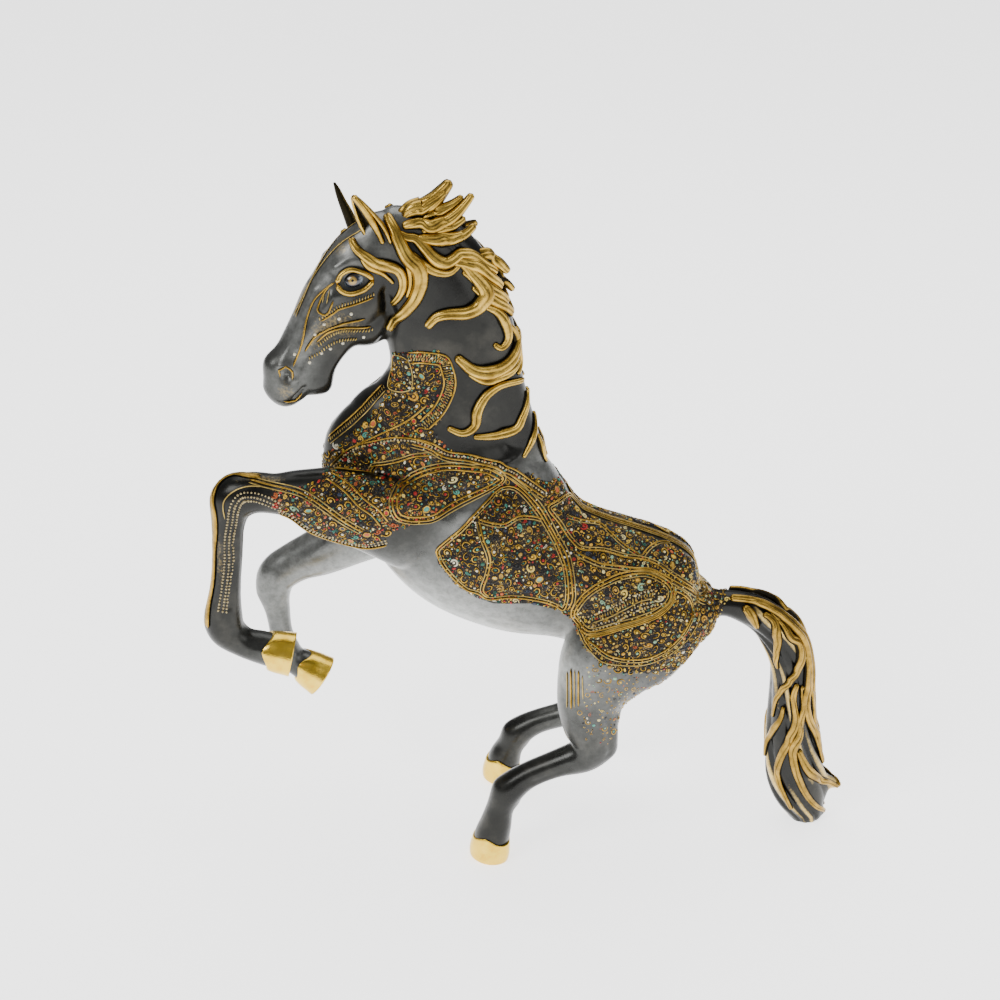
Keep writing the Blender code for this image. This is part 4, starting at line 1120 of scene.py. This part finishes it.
def make_face_inlay(surface, materials):
    """Wires and pearls of both cheeks, and the beaded channels down the near foreleg."""
    rng = np.random.default_rng(5)
    for side, side_name in SIDES:
        mirror = HEAD_MIRRORS[side_name]
        pile = Pile()
        run_wires(pile, surface, HEAD_WIRES, mirror, -side, rng)
        places, normals = surface.snap(mirror(PEARLS))
        stamp(pile, PEARL, places, normals, np.zeros(len(places)), np.full((len(places), 3), PEARL_SIZE),
              PEARL_HUE)
        pile.make(f"face_wires_{side_name}", materials, slot="inlay")
    pile = Pile()
    run_wires(pile, surface, LEG_WIRES, as_drawn, 1, rng)
    pile.make("foreleg_wires_left", materials, slot="inlay")
    pile = Pile()
    for i, points in enumerate(GASKIN_BARS):
        run_row(pile, surface, points, False, 0, "gold" if i % 2 else "pale", rng, 0)
    vertices, normals = surface.vertices, surface.normals
    chosen = inside(GASKIN, vertices) & (normals[:, 1] < -0.2) & (vertices[:, 1] < -8)
    chosen &= rng.uniform(0, 1, len(vertices)) < GASKIN_SHARE
    chips(pile, surface, chosen, None, rng, GASKIN_LIFT)
    pile.make("gaskin_flecks_left", materials, slot="inlay")




# locks of the left side: points, width at the root, at its widest and at the tip, in mm
LOCKS = {
    "cheek": [([(-58, -4, 309), (-55, -8, 304), (-52, -10, 297), (-49, -11, 292), (-45, -11, 288),
                (-44, -11, 282),
                (-46, -12, 275), (-50, -11, 269), (-55, -8, 263), (-59, -5, 258)], 2.4, 4.8, 1.2),
              ([(-56, -6, 306), (-53, -9, 299), (-49, -11, 289), (-48, -12, 281), (-50, -12, 274)], 1.4, 2.6,
               0.6)],
    "brow": [([(-73, -9, 301), (-70, -12, 296), (-64, -13, 291), (-59, -11, 289), (-53, -11, 287),
               (-51, -11, 281),
               (-53, -11, 275), (-57, -9, 270)], 1.4, 3.6, 0.8),
             ([(-71, -11, 296), (-65, -13, 289), (-59, -12, 285), (-55, -11, 280)], 1.0, 2.0, 0.5)],
    "wave": [([(-54, -8, 302), (-49, -9, 300), (-46, -9, 300), (-42, -9, 295), (-38, -10, 291),
               (-34, -9, 289),
               (-30, -8, 291), (-27, -7, 293), (-22, -6, 291), (-17, -4, 286), (-11, -1, 282)], 2.0, 4.0,
              0.6),
             ([(-52, -10, 297), (-47, -11, 293), (-43, -11, 289), (-38, -11, 286), (-32, -10, 285),
               (-27, -9, 289)],
              1.4, 3.0, 1.0),
             ([(-34, -9, 291), (-27, -8, 289), (-21, -7, 287), (-15, -5, 281), (-9, -2, 275.5)], 2.2, 3.8,
              2.2)],
    "crook": [([(-29, -8, 291), (-24, -8, 286), (-20, -8, 281), (-17, -8, 275), (-20, -8, 270),
                (-25, -10, 267.5),
                (-33, -12, 267.5), (-38, -12, 266), (-42, -12, 261)], 2.6, 4.8, 1.0),
              ([(-27, -8, 286), (-22, -8, 282), (-17, -7, 278), (-12, -4, 273), (-6.5, -2, 268.5)], 2.0, 3.6,
               2.2),
              ([(-23, -8, 279), (-16, -7, 273), (-11, -4, 268), (-5.5, -1, 262.5)], 2.0, 3.4, 2.2)],
    "curl": [([(-18, -8, 270), (-12, -7, 266), (-9, -6, 260), (-8, -6, 254), (-11, -7, 250), (-14, -8, 253)],
              1.6, 3.2, 0.9),
             ([(-9, -5, 261), (-6, -3, 256), (-4, -2, 248), (-3, -1, 241), (-4, -5, 236)], 1.0, 2.6, 0.7)],
    "sickle": [([(-30, -13, 249), (-27, -13, 246), (-23, -12, 242), (-17, -11, 240), (-11, -8, 241),
                 (-6, -6, 245),
                 (-4, -3, 250), (-3, 0, 257)], 1.6, 4.6, 0.8),
               ([(-25, -12, 241), (-18, -11, 236.5), (-12, -9, 237), (-6, -7, 239), (-2, -2, 243)], 1.0, 3.0,
                0.7)],
    "hook": [([(-34, -16, 217), (-27, -16, 214), (-22, -14, 217), (-21, -14, 223), (-18, -12, 229),
               (-14, -10, 232),
               (-8, -8, 234), (-1, -2, 233)], 1.4, 3.2, 0.7)],
    "scoop": [([(-23, -15, 212), (-16, -13, 211), (-10, -11, 211), (-4, -9, 213), (-2, -8, 217), (0, -5, 222),
                (1, -1, 228)], 1.2, 3.0, 0.6),
              ([(-2, -10, 199), (2, -8, 205), (4, -4, 211), (4, 0, 217)], 0.8, 2.2, 0.5),
              ([(4, -3, 208), (7, -4, 201), (9, -3, 193)], 0.9, 2.2, 0.4)],
}
PLUMES = {
    "front": [([(-55, -1, 306), (-47, -2, 309), (-40, -1, 312), (-35, 0, 317), (-31, 0, 322)], 2.0, 4.4, 0.5),
              ([(-52, -3, 306), (-44, -4, 310), (-38, -3, 314), (-33, -2, 318)], 1.4, 2.6, 0.4)],
    "middle": [([(-52, -6, 304), (-45, -6, 305), (-38, -6, 304), (-31, -4, 307), (-26, -3, 312),
                 (-22, -2, 317)],
                1.6, 3.2, 0.5),
               ([(-44, -4, 306), (-37, -3, 309), (-31, -2, 312), (-26, -2, 316)], 1.2, 2.6, 0.4)],
    "rear": [([(-46, -8, 300), (-37, -8, 299), (-31, -7, 299), (-26, -5, 300), (-21, -3, 304)], 1.4, 3.2,
              0.5),
             ([(-44, -7, 302), (-38, -6, 303), (-32, -5, 303), (-25, -3, 307)], 1.2, 2.6, 0.4),
             ([(-40, 4, 303), (-33, 5, 300), (-26, 5, 300), (-20, 4, 302)], 1.4, 3.0, 0.5)],
    "low": [([(-26, -2, 290), (-18, -1, 289), (-12, 0, 286), (-7, 0, 281)], 1.6, 3.2, 0.5),
            ([(-22, 1, 282), (-15, 2, 280), (-10, 2, 277), (-5, 2, 272)], 1.4, 2.8, 0.5)],
}
TAIL_LOCKS = [
    ([(93, -4, 125), (101, -4, 124), (108, -4, 122), (115, -4, 117), (123, -4, 110), (128, -3, 102),
      (131, -3, 93),
      (133, -3, 85), (134, -3, 76), (135, -3, 65), (136, -3, 57), (139, -2, 47), (141, -2, 41)], 2.0, 3.8,
     1.6),
    ([(99, -6, 122), (102, -6, 119), (105, -7, 114), (107, -7, 110)], 2.0, 3.2, 1.4),
    ([(108, -6, 118), (113, -7, 115), (115, -8, 109), (116, -8, 103), (116, -7, 95), (117, -7, 88)], 1.6,
     2.8, 1.2),
    ([(112, -5, 119), (117, -6, 113), (121, -7, 106), (125, -6, 102), (127, -7, 95), (126, -8, 89),
      (124, -8, 85),
      (120, -8, 78), (117, -7, 71), (116, -5, 60)], 1.8, 2.8, 0.8),
    ([(128, -4, 101), (131, -5, 93), (131, -6, 86), (131, -6, 79), (131, -7, 70), (133, -7, 62),
      (137, -4, 51),
      (141, -2, 39), (144, -1, 31)], 1.6, 3.0, 1.2),
    ([(126, -8, 82), (125, -9, 73), (126, -9, 63), (126, -9, 55), (123, -9, 46), (121, -8, 37), (121, -7, 27),
      (125, -8, 17), (129, -8, 9)], 1.6, 2.8, 1.2),
    ([(121, -8, 69), (120, -8, 62), (117, -6, 54), (115, -3, 45), (116, -2, 36)], 1.2, 2.4, 1.0),
    ([(129, -7, 80), (130, -8, 70), (129, -9, 61), (128, -9, 51), (127, -9, 43), (129, -9, 33), (134, -8, 21),
      (140, -6, 11), (146, -2, 4)], 1.4, 3.0, 1.4),
    ([(129, -9, 46), (133, -9, 36), (138, -7, 28), (146, -3, 22), (152, 0, 17)], 1.6, 3.0, 1.2),
    ([(136, -5, 58), (138, -3, 50), (140, -2, 43), (142, -2, 36)], 1.6, 3.0, 1.2),
]
LOCK_SIDES = 24
TAIL_GIRTH = 1.75
LOCK_GIRTH = 1.62
PLUME_GIRTH = 2.2
LOCK_STEP = 0.9


def strand(pile, surface, points, widths, hold=(1.5, 4.5), girth=LOCK_GIRTH, blunt=0.5):
    """A tapering lock with rounded ridges, on the skin where its path is near it and free elsewhere."""
    path = evenly(smooth_path(points, 8), LOCK_STEP)
    places, normals = surface.snap(path)
    gap = np.linalg.norm(path - places, axis=1)
    free = np.clip((gap - hold[0]) / (hold[1] - hold[0]), 0, 1)[:, None]
    side = np.array([0, -1.0 if path[:, 1].mean() <= 0 else 1.0, 0.35])
    places = places * (1 - free) + path * free
    normals = unit(normals * (1 - free) + side * free)
    kernel = np.array([1, 2, 3, 2, 1]) / 9
    for columns in (places, normals):
        for axis in range(3):
            padded = np.pad(columns[:, axis], 2, mode="edge")
            columns[:, axis] = np.convolve(padded, kernel, "valid")
    t = np.linspace(0, 1, len(path))
    root, widest, tip = np.array(widths) * girth
    root, tip = max(root, blunt * widest), max(tip, blunt * widest)
    half = np.interp(t, [0, 0.4, 1], [root, widest, tip]) / 2
    end = np.minimum(t, 1 - t) * len(path) * LOCK_STEP / np.maximum(half, 0.3)
    half = half * np.sqrt(np.clip(1 - (1 - np.clip(end, 0, 1)) ** 2, 0.03, 1))
    along = tangents(places)
    across = unit(np.cross(normals, along))
    out = np.cross(along, across)
    turn = np.linspace(0, 2 * math.pi, LOCK_SIDES, endpoint=False)
    lobes = 2 if widest > 4.5 else 1
    wave = np.abs(np.sin(lobes * turn[None] + 0.5 * np.sin(5 * t)[:, None]))
    upper = np.clip(np.sin(turn), 0, 1)[None]
    swell = 1 - 0.34 * (1 - wave) ** 1.3 * upper
    height = half * 1.05
    depth = np.where(np.sin(turn) > 0, 1.0, 0.6) * np.sin(turn)
    vertices = (places[:, None] + across[:, None] * (half[:, None] * swell * np.cos(turn))[..., None]
                + out[:, None] * (height[:, None] * swell * depth + 0.15 * height[:, None])[..., None])
    facing = np.sin(turn)[None] * (1 - free) + np.abs(np.sin(turn))[None] * free
    # painted shade: the lock darker on its side towards the skin where it lies on it, and darker in its
    # grooves
    ridge = np.clip(1.5 * facing - 0.2, 0, 1) * (0.12 + 0.88 * wave)
    pile.add(vertices.reshape(-1, 3), tube_faces(len(path), LOCK_SIDES), 0, ridge=ridge.ravel())


def make_tail_locks(surface, brass):
    """Gilded locks wound along both sides of the tail."""
    for side, side_name in SIDES:
        pile = Pile()
        for points, *widths in TAIL_LOCKS:
            strand(pile, surface, on_flank(points, side), widths, (2.0, 5.0), TAIL_GIRTH, 0.35)
        pile.make("tail_locks_" + side_name, [brass], slot="polished_brass")


def make_mane(surface, brass):
    for name, locks in LOCKS.items():
        for side, side_name in SIDES:
            pile = Pile()
            for points, *widths in locks:
                if side == LEFT:
                    placed = points
                elif name == "brow":
                    placed = mirror_head(points)
                else:
                    placed = mirror_flank(points)
                strand(pile, surface, placed, widths)
            pile.make(f"lock_{name}_{side_name}", [brass], [f"mane_{name}_{side_name}"], "polished_brass")
    for name, locks in PLUMES.items():
        pile = Pile()
        for points, *widths in locks:
            strand(pile, surface, points, widths, (0.8, 2.5), PLUME_GIRTH, 0.42)
        pile.make(f"plume_{name}", [brass], [f"mane_plume_{name}"], "polished_brass")


# hooves from the coronet down to the sole: x, y, z, depth radius, side radius
HOOVES = {
    "fore_left": [(-115.5, -25, 110.2, 8.6, 8.2), (-113.5, -25, 109.7, 9.5, 8.9), (-109, -25, 108.7, 10, 9.3),
                  (-104.2, -25, 107.7, 10.4, 9.7)],
    "fore_right": [(-106.6, 24, 71.6, 7.8, 7.6), (-104.8, 24, 70.3, 8.8, 8.4), (-101, 24, 67.6, 9.8, 9.2),
                   (-96.8, 24, 64.6, 10.6, 9.7)],
    "hind_left": [(-14.4, -31, 12.2, 8.8, 8.5), (-14.7, -31, 10.8, 9.3, 8.9), (-15.3, -31, 6, 9.9, 9.2),
                  (-15.8, -31, 1.4, 9.7, 8.8), (-15.8, -31, 0.02, 8.6, 7.8)],
    "hind_right": [(-8.8, 31, 12.2, 8.5, 8.3), (-9.2, 31, 10.8, 9.1, 8.7), (-9.9, 31, 6, 9.7, 9.0),
                   (-10.4, 31, 1.4, 9.5, 8.6), (-10.4, 31, 0.02, 8.4, 7.6)],
}
HOOF_SIDES = 48


def make_hooves(brass):
    for name, stations in HOOVES.items():
        path = smooth_path(stations, 8)
        hind = name.startswith("hind")
        axis = unit(path[-1, :3] - path[0, :3])
        front = unit(np.cross(ACROSS, axis)) * (1 if hind else -1)
        if hind and front[0] > 0:
            front = -front
        turn = np.linspace(0, 2 * math.pi, HOOF_SIDES, endpoint=False)
        rows, ridge = [], []
        for k, (x, y, z, depth, side) in enumerate(path):
            t = k / (len(path) - 1)
            toe = np.cos(turn)
            notch = 1 - 0.10 * np.clip(-toe, 0, 1) ** 8
            swell = 1 + 0.004 * math.sin(t * 14)
            bend = np.minimum(turn, 2 * math.pi - turn)
            peak = (1 - t) ** 2 * (1.2 - 3.4 * np.exp(-((bend - 1.15) / 0.6) ** 2))
            ring = (np.array([x, y, z]) + front * (depth * swell * notch * toe)[:, None]
                    + ACROSS * (side * swell * np.sin(turn))[:, None] + axis * peak[:, None])
            rows.append(ring)
            ridge.append(np.full(HOOF_SIDES, 0.9 + 0.1 * math.sin(t * 14)))
        centre = path[-1, :3]
        for inset, deep in ((0.985, 0.0), (0.84, 0.0), (0.74, 1.1), (0.4, 1.5)):
            rows.append(centre + (rows[len(path) - 1] - centre) * inset - axis * deep)
            ridge.append(np.full(HOOF_SIDES, 0.9 if deep == 0 else 0.25))
        top = [path[0, :3] + (rows[0] - path[0, :3]) * inset + axis * 0.6 for inset in (0.55, 0.88)]
        rows = top + rows
        ridge = [np.full(HOOF_SIDES, 0.3)] * 2 + ridge
        vertices = np.vstack(rows)
        vertices[:, 2] = np.maximum(vertices[:, 2], 0)
        pile = Pile()
        pile.add(vertices, tube_faces(len(rows), HOOF_SIDES), 0, ridge=np.concatenate(ridge))
        pile.make("hoof_shell_" + name, [brass], ["hoof_" + name], "polished_brass")


# ears from the base to the tip: x, y, z, half width
EARS = {"left": ([(-60, -9, 297, 5.2), (-62.5, -10, 303, 5.4), (-65.5, -11, 309, 4.6), (-68.5, -12, 315, 3.0),
                  (-70.3, -12.3, 318.5, 1.6), (-70.8, -12.4, 319.6, 0.6)], (-0.42, -0.9, 0.1)),
        "right": ([(-72, 5, 298, 2.6), (-74.5, 8, 304, 2.4), (-77, 10, 309, 1.8), (-78.8, 11, 313.5, 1.3),
                   (-80.2, 11.3, 317, 0.5)], (0.2, 0.97, 0.1))}
EAR_ROLL = [(-71, -12.6, 320), (-69.5, -12.8, 318), (-66.5, -12.4, 313.5), (-63.6, -11.8, 308.5),
            (-61, -11, 303),
            (-59, -10.2, 297.5)]
EAR_WALL = 1.0
EAR_ARC = 11


def make_ears(surface, brass):
    """Cupped leaves, hollow towards the front and side."""
    for name, (stations, facing) in EARS.items():
        path = smooth_path(stations, 6)
        along = tangents(path[:, :3])
        facing = unit(np.array(facing))
        rows, ridge = [], []
        for (x, y, z, half), a in zip(path, along):
            out = unit(facing - a * np.dot(facing, a))
            wide = np.cross(a, out)
            phi = np.linspace(-1.75, 1.75, EAR_ARC)[:, None]
            wall = min(EAR_WALL, half * 0.45)
            outer = wide * half * np.sin(phi) - out * half * 0.85 * np.cos(phi)
            inner = (wide * (half - wall) * np.sin(phi) - out * (half * 0.85 - wall) * np.cos(phi))[::-1]
            rows.append(np.array([x, y, z]) + np.vstack([outer, inner]))
            edge = np.abs(np.linspace(-1, 1, EAR_ARC)) ** 3
            ridge.append(np.concatenate([0.15 + edge, 0.05 + 0.9 * edge ** 2]))
        ridge = np.concatenate(ridge) * (1 if name == "left" else 0.35)
        pile = Pile()
        pile.add(np.vstack(rows), tube_faces(len(rows), 2 * EAR_ARC), 0, ridge=ridge)
        if name == "left":
            strand(pile, surface, EAR_ROLL, (1.6, 2.2, 1.4), (0.5, 1.5))
        pile.make("ear_cup_" + name, [brass], ["ear_" + name], "polished_brass")


EYE = (-71.6, -14.2, 283.6)
EYE_RADII = (2.2, 4.2, 3.1)
EYE_LIDS = [[(-78.5, -16, 282.5), (-76.5, -15, 286.5), (-72.5, -14, 288.3), (-67.5, -13.5, 287),
             (-63.5, -13, 283.5)],
            [(-78.5, -16, 282.5), (-76.5, -16.5, 279.5), (-72.5, -16, 278.2), (-67.5, -14.5, 279.6),
             (-63.5, -13, 283.5)]]


def make_eyes(surface, brass, eye_material):
    """Eyeballs with an iris and pupil, between two lids."""
    for name, mirror in HEAD_MIRRORS.items():
        centre, normal = surface.snap(mirror([EYE]))
        centre, normal = centre[0], normal[0]
        forward = unit(HEAD_FRONT * 0.9 - UP * 0.25)
        forward = unit(forward - normal * np.dot(forward, normal))
        upward = np.cross(forward, normal)
        upward *= np.sign(upward[2])
        around = np.linspace(0, 2 * math.pi, 40, endpoint=False)
        rows, hues = [], []
        for polar in np.linspace(0.04, math.pi - 0.04, 24):
            ring = (normal * EYE_RADII[0] * math.cos(polar)
                    + forward * (EYE_RADII[1] * math.sin(polar) * np.cos(around))[:, None]
                    + upward * (EYE_RADII[2] * math.sin(polar) * np.sin(around))[:, None])
            rows.append(centre + ring + normal * 0.2)
            flat = ring - normal * (ring @ normal)[:, None] - forward * 0.35
            hues.append(np.linalg.norm(flat, axis=1) / EYE_RADII[1])
        pile = Pile()
        pile.add(np.vstack(rows), tube_faces(len(rows), len(around)), 0, hue=np.concatenate(hues))
        for lid in EYE_LIDS:
            places, normals = surface.lay(mirror(lid), 0.6)
            tube(pile, places + normals * 0.6, normals, 1.15, 1, height=1.2, sides=10)
        pile.make("eyeball_" + name, [eye_material, brass], ["eye_" + name], "eye_brass")


def eye_paint():
    material, tree, shader = new_material("eye_enamel", 0.3, 0.12, coat=0.8)
    cloud = noise(tree, 700, 3)
    place = maths(tree, "ADD", attribute(tree, "hue"), maths(tree, "MULTIPLY", cloud, 0.06))
    # hue is the distance from the iris centre; the pale blue-grey stops at 0.9 and 1, at the eye's corners
    # and most at the back one, are a painted glint
    colour = ramp(tree, place, [(0.0, (0.008, 0.008, 0.009)), (0.15, (0.008, 0.008, 0.009)),
                                (0.2, (0.42, 0.28, 0.06)),
                                (0.42, (0.22, 0.13, 0.03)), (0.5, (0.012, 0.014, 0.022)),
                                (0.78, (0.015, 0.02, 0.035)),
                                (0.9, (0.16, 0.20, 0.24)), (1.0, (0.30, 0.34, 0.38))])
    tree.links.new(colour, shader.inputs["Base Color"])
    bump(tree, cloud, 0.08, 0.0002, shader)
    return material


TAIL_RIDGES = 9
TAIL_TURNS = 0.36
TAIL_RELIEF = 0.8


def twist_tail(vertices, quads):
    """Twisted ridges on the tail; gives the moved vertices and how gilded each one is."""
    path = smooth_path(np.array(TAIL)[3:, :3], 8)
    tail = np.flatnonzero(vertices[:, 0] > 101)
    normals = vertex_normals(vertices, quads)[tail]
    points = vertices[tail]
    _, place = path_distance(points, path)
    index = place * (len(path) - 1)
    low = np.clip(index.astype(int), 0, len(path) - 2)
    part = (index - low)[:, None]
    centre = path[low] * (1 - part) + path[low + 1] * part
    along = unit(path[low + 1] - path[low])
    out = np.cross(ACROSS, along)
    offset = points - centre
    angle = np.arctan2(offset[:, 1], (offset * out).sum(1))
    phase = TAIL_RIDGES * (angle + 2 * math.pi * TAIL_TURNS * place) / 2 + 0.8 * np.sin(9 * place + 2 * angle)
    wave = np.abs(np.sin(phase)) * (0.72 + 0.28 * np.sin(13 * place + 3 * angle))
    start = np.clip((points[:, 0] - 101) / 6, 0, 1)
    end = np.clip(points[:, 2] / 12, 0, 1)
    height = TAIL_RELIEF * start * (0.35 + 0.65 * end) * (2 * wave ** 0.8 - 1.2)
    moved = vertices.copy()
    moved[tail] += normals * height[:, None]
    gild = np.zeros(len(vertices))
    gild[tail] = start * np.clip(wave * 1.3 - 0.62, 0, 1)
    return moved, gild


def soft_spots(points, spots):
    """Sum of soft round spots, cut off at 1: centre, reach, amount."""
    total = np.zeros(len(points))
    for centre, reach, amount in spots:
        total += amount * np.exp(-(((points - centre) / reach) ** 2).sum(axis=1))
    return np.clip(total, 0, 1)


# pale spots on the patina, centre, reach, amount: the two broad spots under the belly are a painted
# reflection of the white floor, the others pale it where it is rubbed
WEAR_AND_REFLECTION_SPOTS = [((-40, 0, 128), (45, 60, 26), 0.75), ((0, 0, 106), (34, 60, 16), 0.75),
              ((30, -32, 78), (26, 30, 34), 0.08),
              ((58, -26, 92), (26, 30, 20), 0.06), ((40, 28, 60), (30, 20, 40), 0.3),
              ((-100, 24, 120), (36, 14, 40), 0.42),
              ((-55, 0, 312), (22, 20, 8), 0.4), ((-24, -27, 170), (12, 20, 16), 0.3),
              ((8, -8, 190), (10, 14, 10), 0.35),
              ((-97, -14, 262), (9, 12, 26), 0.3), ((-84, -8, 286), (12, 14, 12), 0.3),
              ((-70, -8, 298), (14, 12, 8), 0.25), ((-104, -18, 240), (8, 10, 10), 0.14),
              ((-112, -25, 103), (16, 14, 16), 0.1)]
GILT_SPOTS = [((-80, -14, 272), (12, 8, 16), 0.24), ((-92, -16, 256), (9, 8, 14), 0.26),
              ((-76, -8, 296), (10, 10, 8), 0.3),
             ((-102, -18, 236), (8, 8, 8), 0.36), ((-72, -14, 262), (14, 8, 9), 0.2),
              ((-112, -28, 196), (22, 6, 8), 0.34),
             ((-133, -30, 160), (6, 8, 34), 0.3), ((6, -30, 46), (14, 8, 6), 0.25),
              ((-6, 24, 38), (9, 12, 8), 0.25)]


def make_castings(surface, gild, patina):
    """The patinated castings, closed and parted where the real ones are brazed."""
    for name, (vertices, faces) in split_castings(surface).items():
        sizes = sorted({len(f) for f in faces})
        arrays = [np.array([f for f in faces if len(f) == size]) for size in sizes]
        vertices[:, 2] = np.maximum(vertices[:, 2], 0)
        gilded = soft_spots(vertices, GILT_SPOTS)
        if name == "tail":
            gilded = np.array([gild[surface.points.find(v)[1]] for v in vertices])
        obj = mesh_object(name + "_casting", vertices, arrays, [patina],
                          values={"wear_and_reflection": soft_spots(vertices, WEAR_AND_REFLECTION_SPOTS), "gild": gilded})
        nearest = [surface.points.find(v)[1] for v in vertices]
        obj.data.normals_split_custom_set_from_vertices(surface.normals[nearest].tolist())
        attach(obj, "root")
        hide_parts(name)


def enamel_material():
    """Glassy enamel, its colour picked by the hue of each chip."""
    material, tree, shader = new_material("cell_enamel", 0.0, 0.34, coat=0.1)
    shader.inputs["Specular IOR Level"].default_value = 0.3
    palette = [(0.42, 0.015, 0.010), (0.82, 0.76, 0.58), (0.010, 0.010, 0.011), (0.08, 0.34, 0.26),
               (0.72, 0.42, 0.04),
               (0.02, 0.12, 0.08), (0.50, 0.10, 0.02), (0.02, 0.03, 0.06), (0.28, 0.48, 0.30),
               (0.82, 0.53, 0.05),
               (0.42, 0.24, 0.03), (0.85, 0.62, 0.14), (0.012, 0.011, 0.010), (0.70, 0.36, 0.03),
               (0.80, 0.68, 0.30)]
    hue = attribute(tree, "hue")
    colour = ramp(tree, hue, [(i / len(palette), c) for i, c in enumerate(palette)], "CONSTANT")
    cloud = noise(tree, 900, 4, 0.7)
    shade = ramp(tree, cloud, [(0.3, (0.55, 0.55, 0.55)), (0.7, (1, 1, 1))])
    tree.links.new(mix_colour(tree, 1.0, colour, shade, "MULTIPLY"), shader.inputs["Base Color"])
    bump(tree, cloud, 0.12, 0.0002, shader)
    return material


def niello_material():
    """Black ground sunk between the wires, with gold showing through in grains."""
    material, tree, shader = new_material("niello_ground", 0.2, 0.5)
    shader.inputs["Specular IOR Level"].default_value = 0.2
    fine = noise(tree, 1500, 3, 0.6)
    cloud = noise(tree, 120, 4)
    grains = span(tree, maths(tree, "ADD", fine, maths(tree, "MULTIPLY", cloud, 0.25)), 0.72, 0.80)
    dark = ramp(tree, cloud, [(0.3, (0.005, 0.004, 0.004)), (0.7, (0.017, 0.013, 0.009))])
    tree.links.new(mix_colour(tree, grains, dark, (0.42, 0.29, 0.10, 1)), shader.inputs["Base Color"])
    bump(tree, fine, 0.5, 0.0003, shader)
    return material


def bead_material():
    """Little tan seeds, browner in places."""
    material, tree, shader = new_material("pale_seeds", 0.1, 0.4)
    cloud = noise(tree, 800, 4)
    tan = ramp(tree, cloud, [(0.3, (0.22, 0.16, 0.07)), (0.62, (0.50, 0.40, 0.20))])
    tree.links.new(tan, shader.inputs["Base Color"])
    bump(tree, cloud, 0.15, 0.0002, shader)
    return material


def main():
    vertices, quads = make_skin()
    vertices, gild = twist_tail(sculpt(vertices, quads, every_form()), quads)
    surface = Surface(vertices, quads)
    gold = brass_material("old_gold", (0.26, 0.155, 0.026), (0.60, 0.39, 0.075), 0.30, (0.016, 0.013, 0.007))
    wire = brass_material("gold_wire", (0.17, 0.10, 0.016), (0.44, 0.27, 0.05), 0.30, (0.012, 0.010, 0.006))
    pale = brass_material("pale_wire", (0.22, 0.15, 0.04), (0.47, 0.34, 0.11), 0.34, (0.012, 0.010, 0.006))
    hoof = brass_material("hoof_brass", (0.66, 0.42, 0.035), (0.85, 0.58, 0.08), 0.24, (0.30, 0.19, 0.05))
    inlay = [wire, enamel_material(), niello_material(), pale, bead_material()]
    make_castings(surface, gild, patina_material())
    make_inlay(surface, inlay)
    make_face_inlay(surface, inlay)
    make_mane(surface, gold)
    make_tail_locks(surface, wire)
    make_hooves(hoof)
    make_ears(surface, gold)
    make_eyes(surface, gold, eye_paint())
    make_stage()


main()
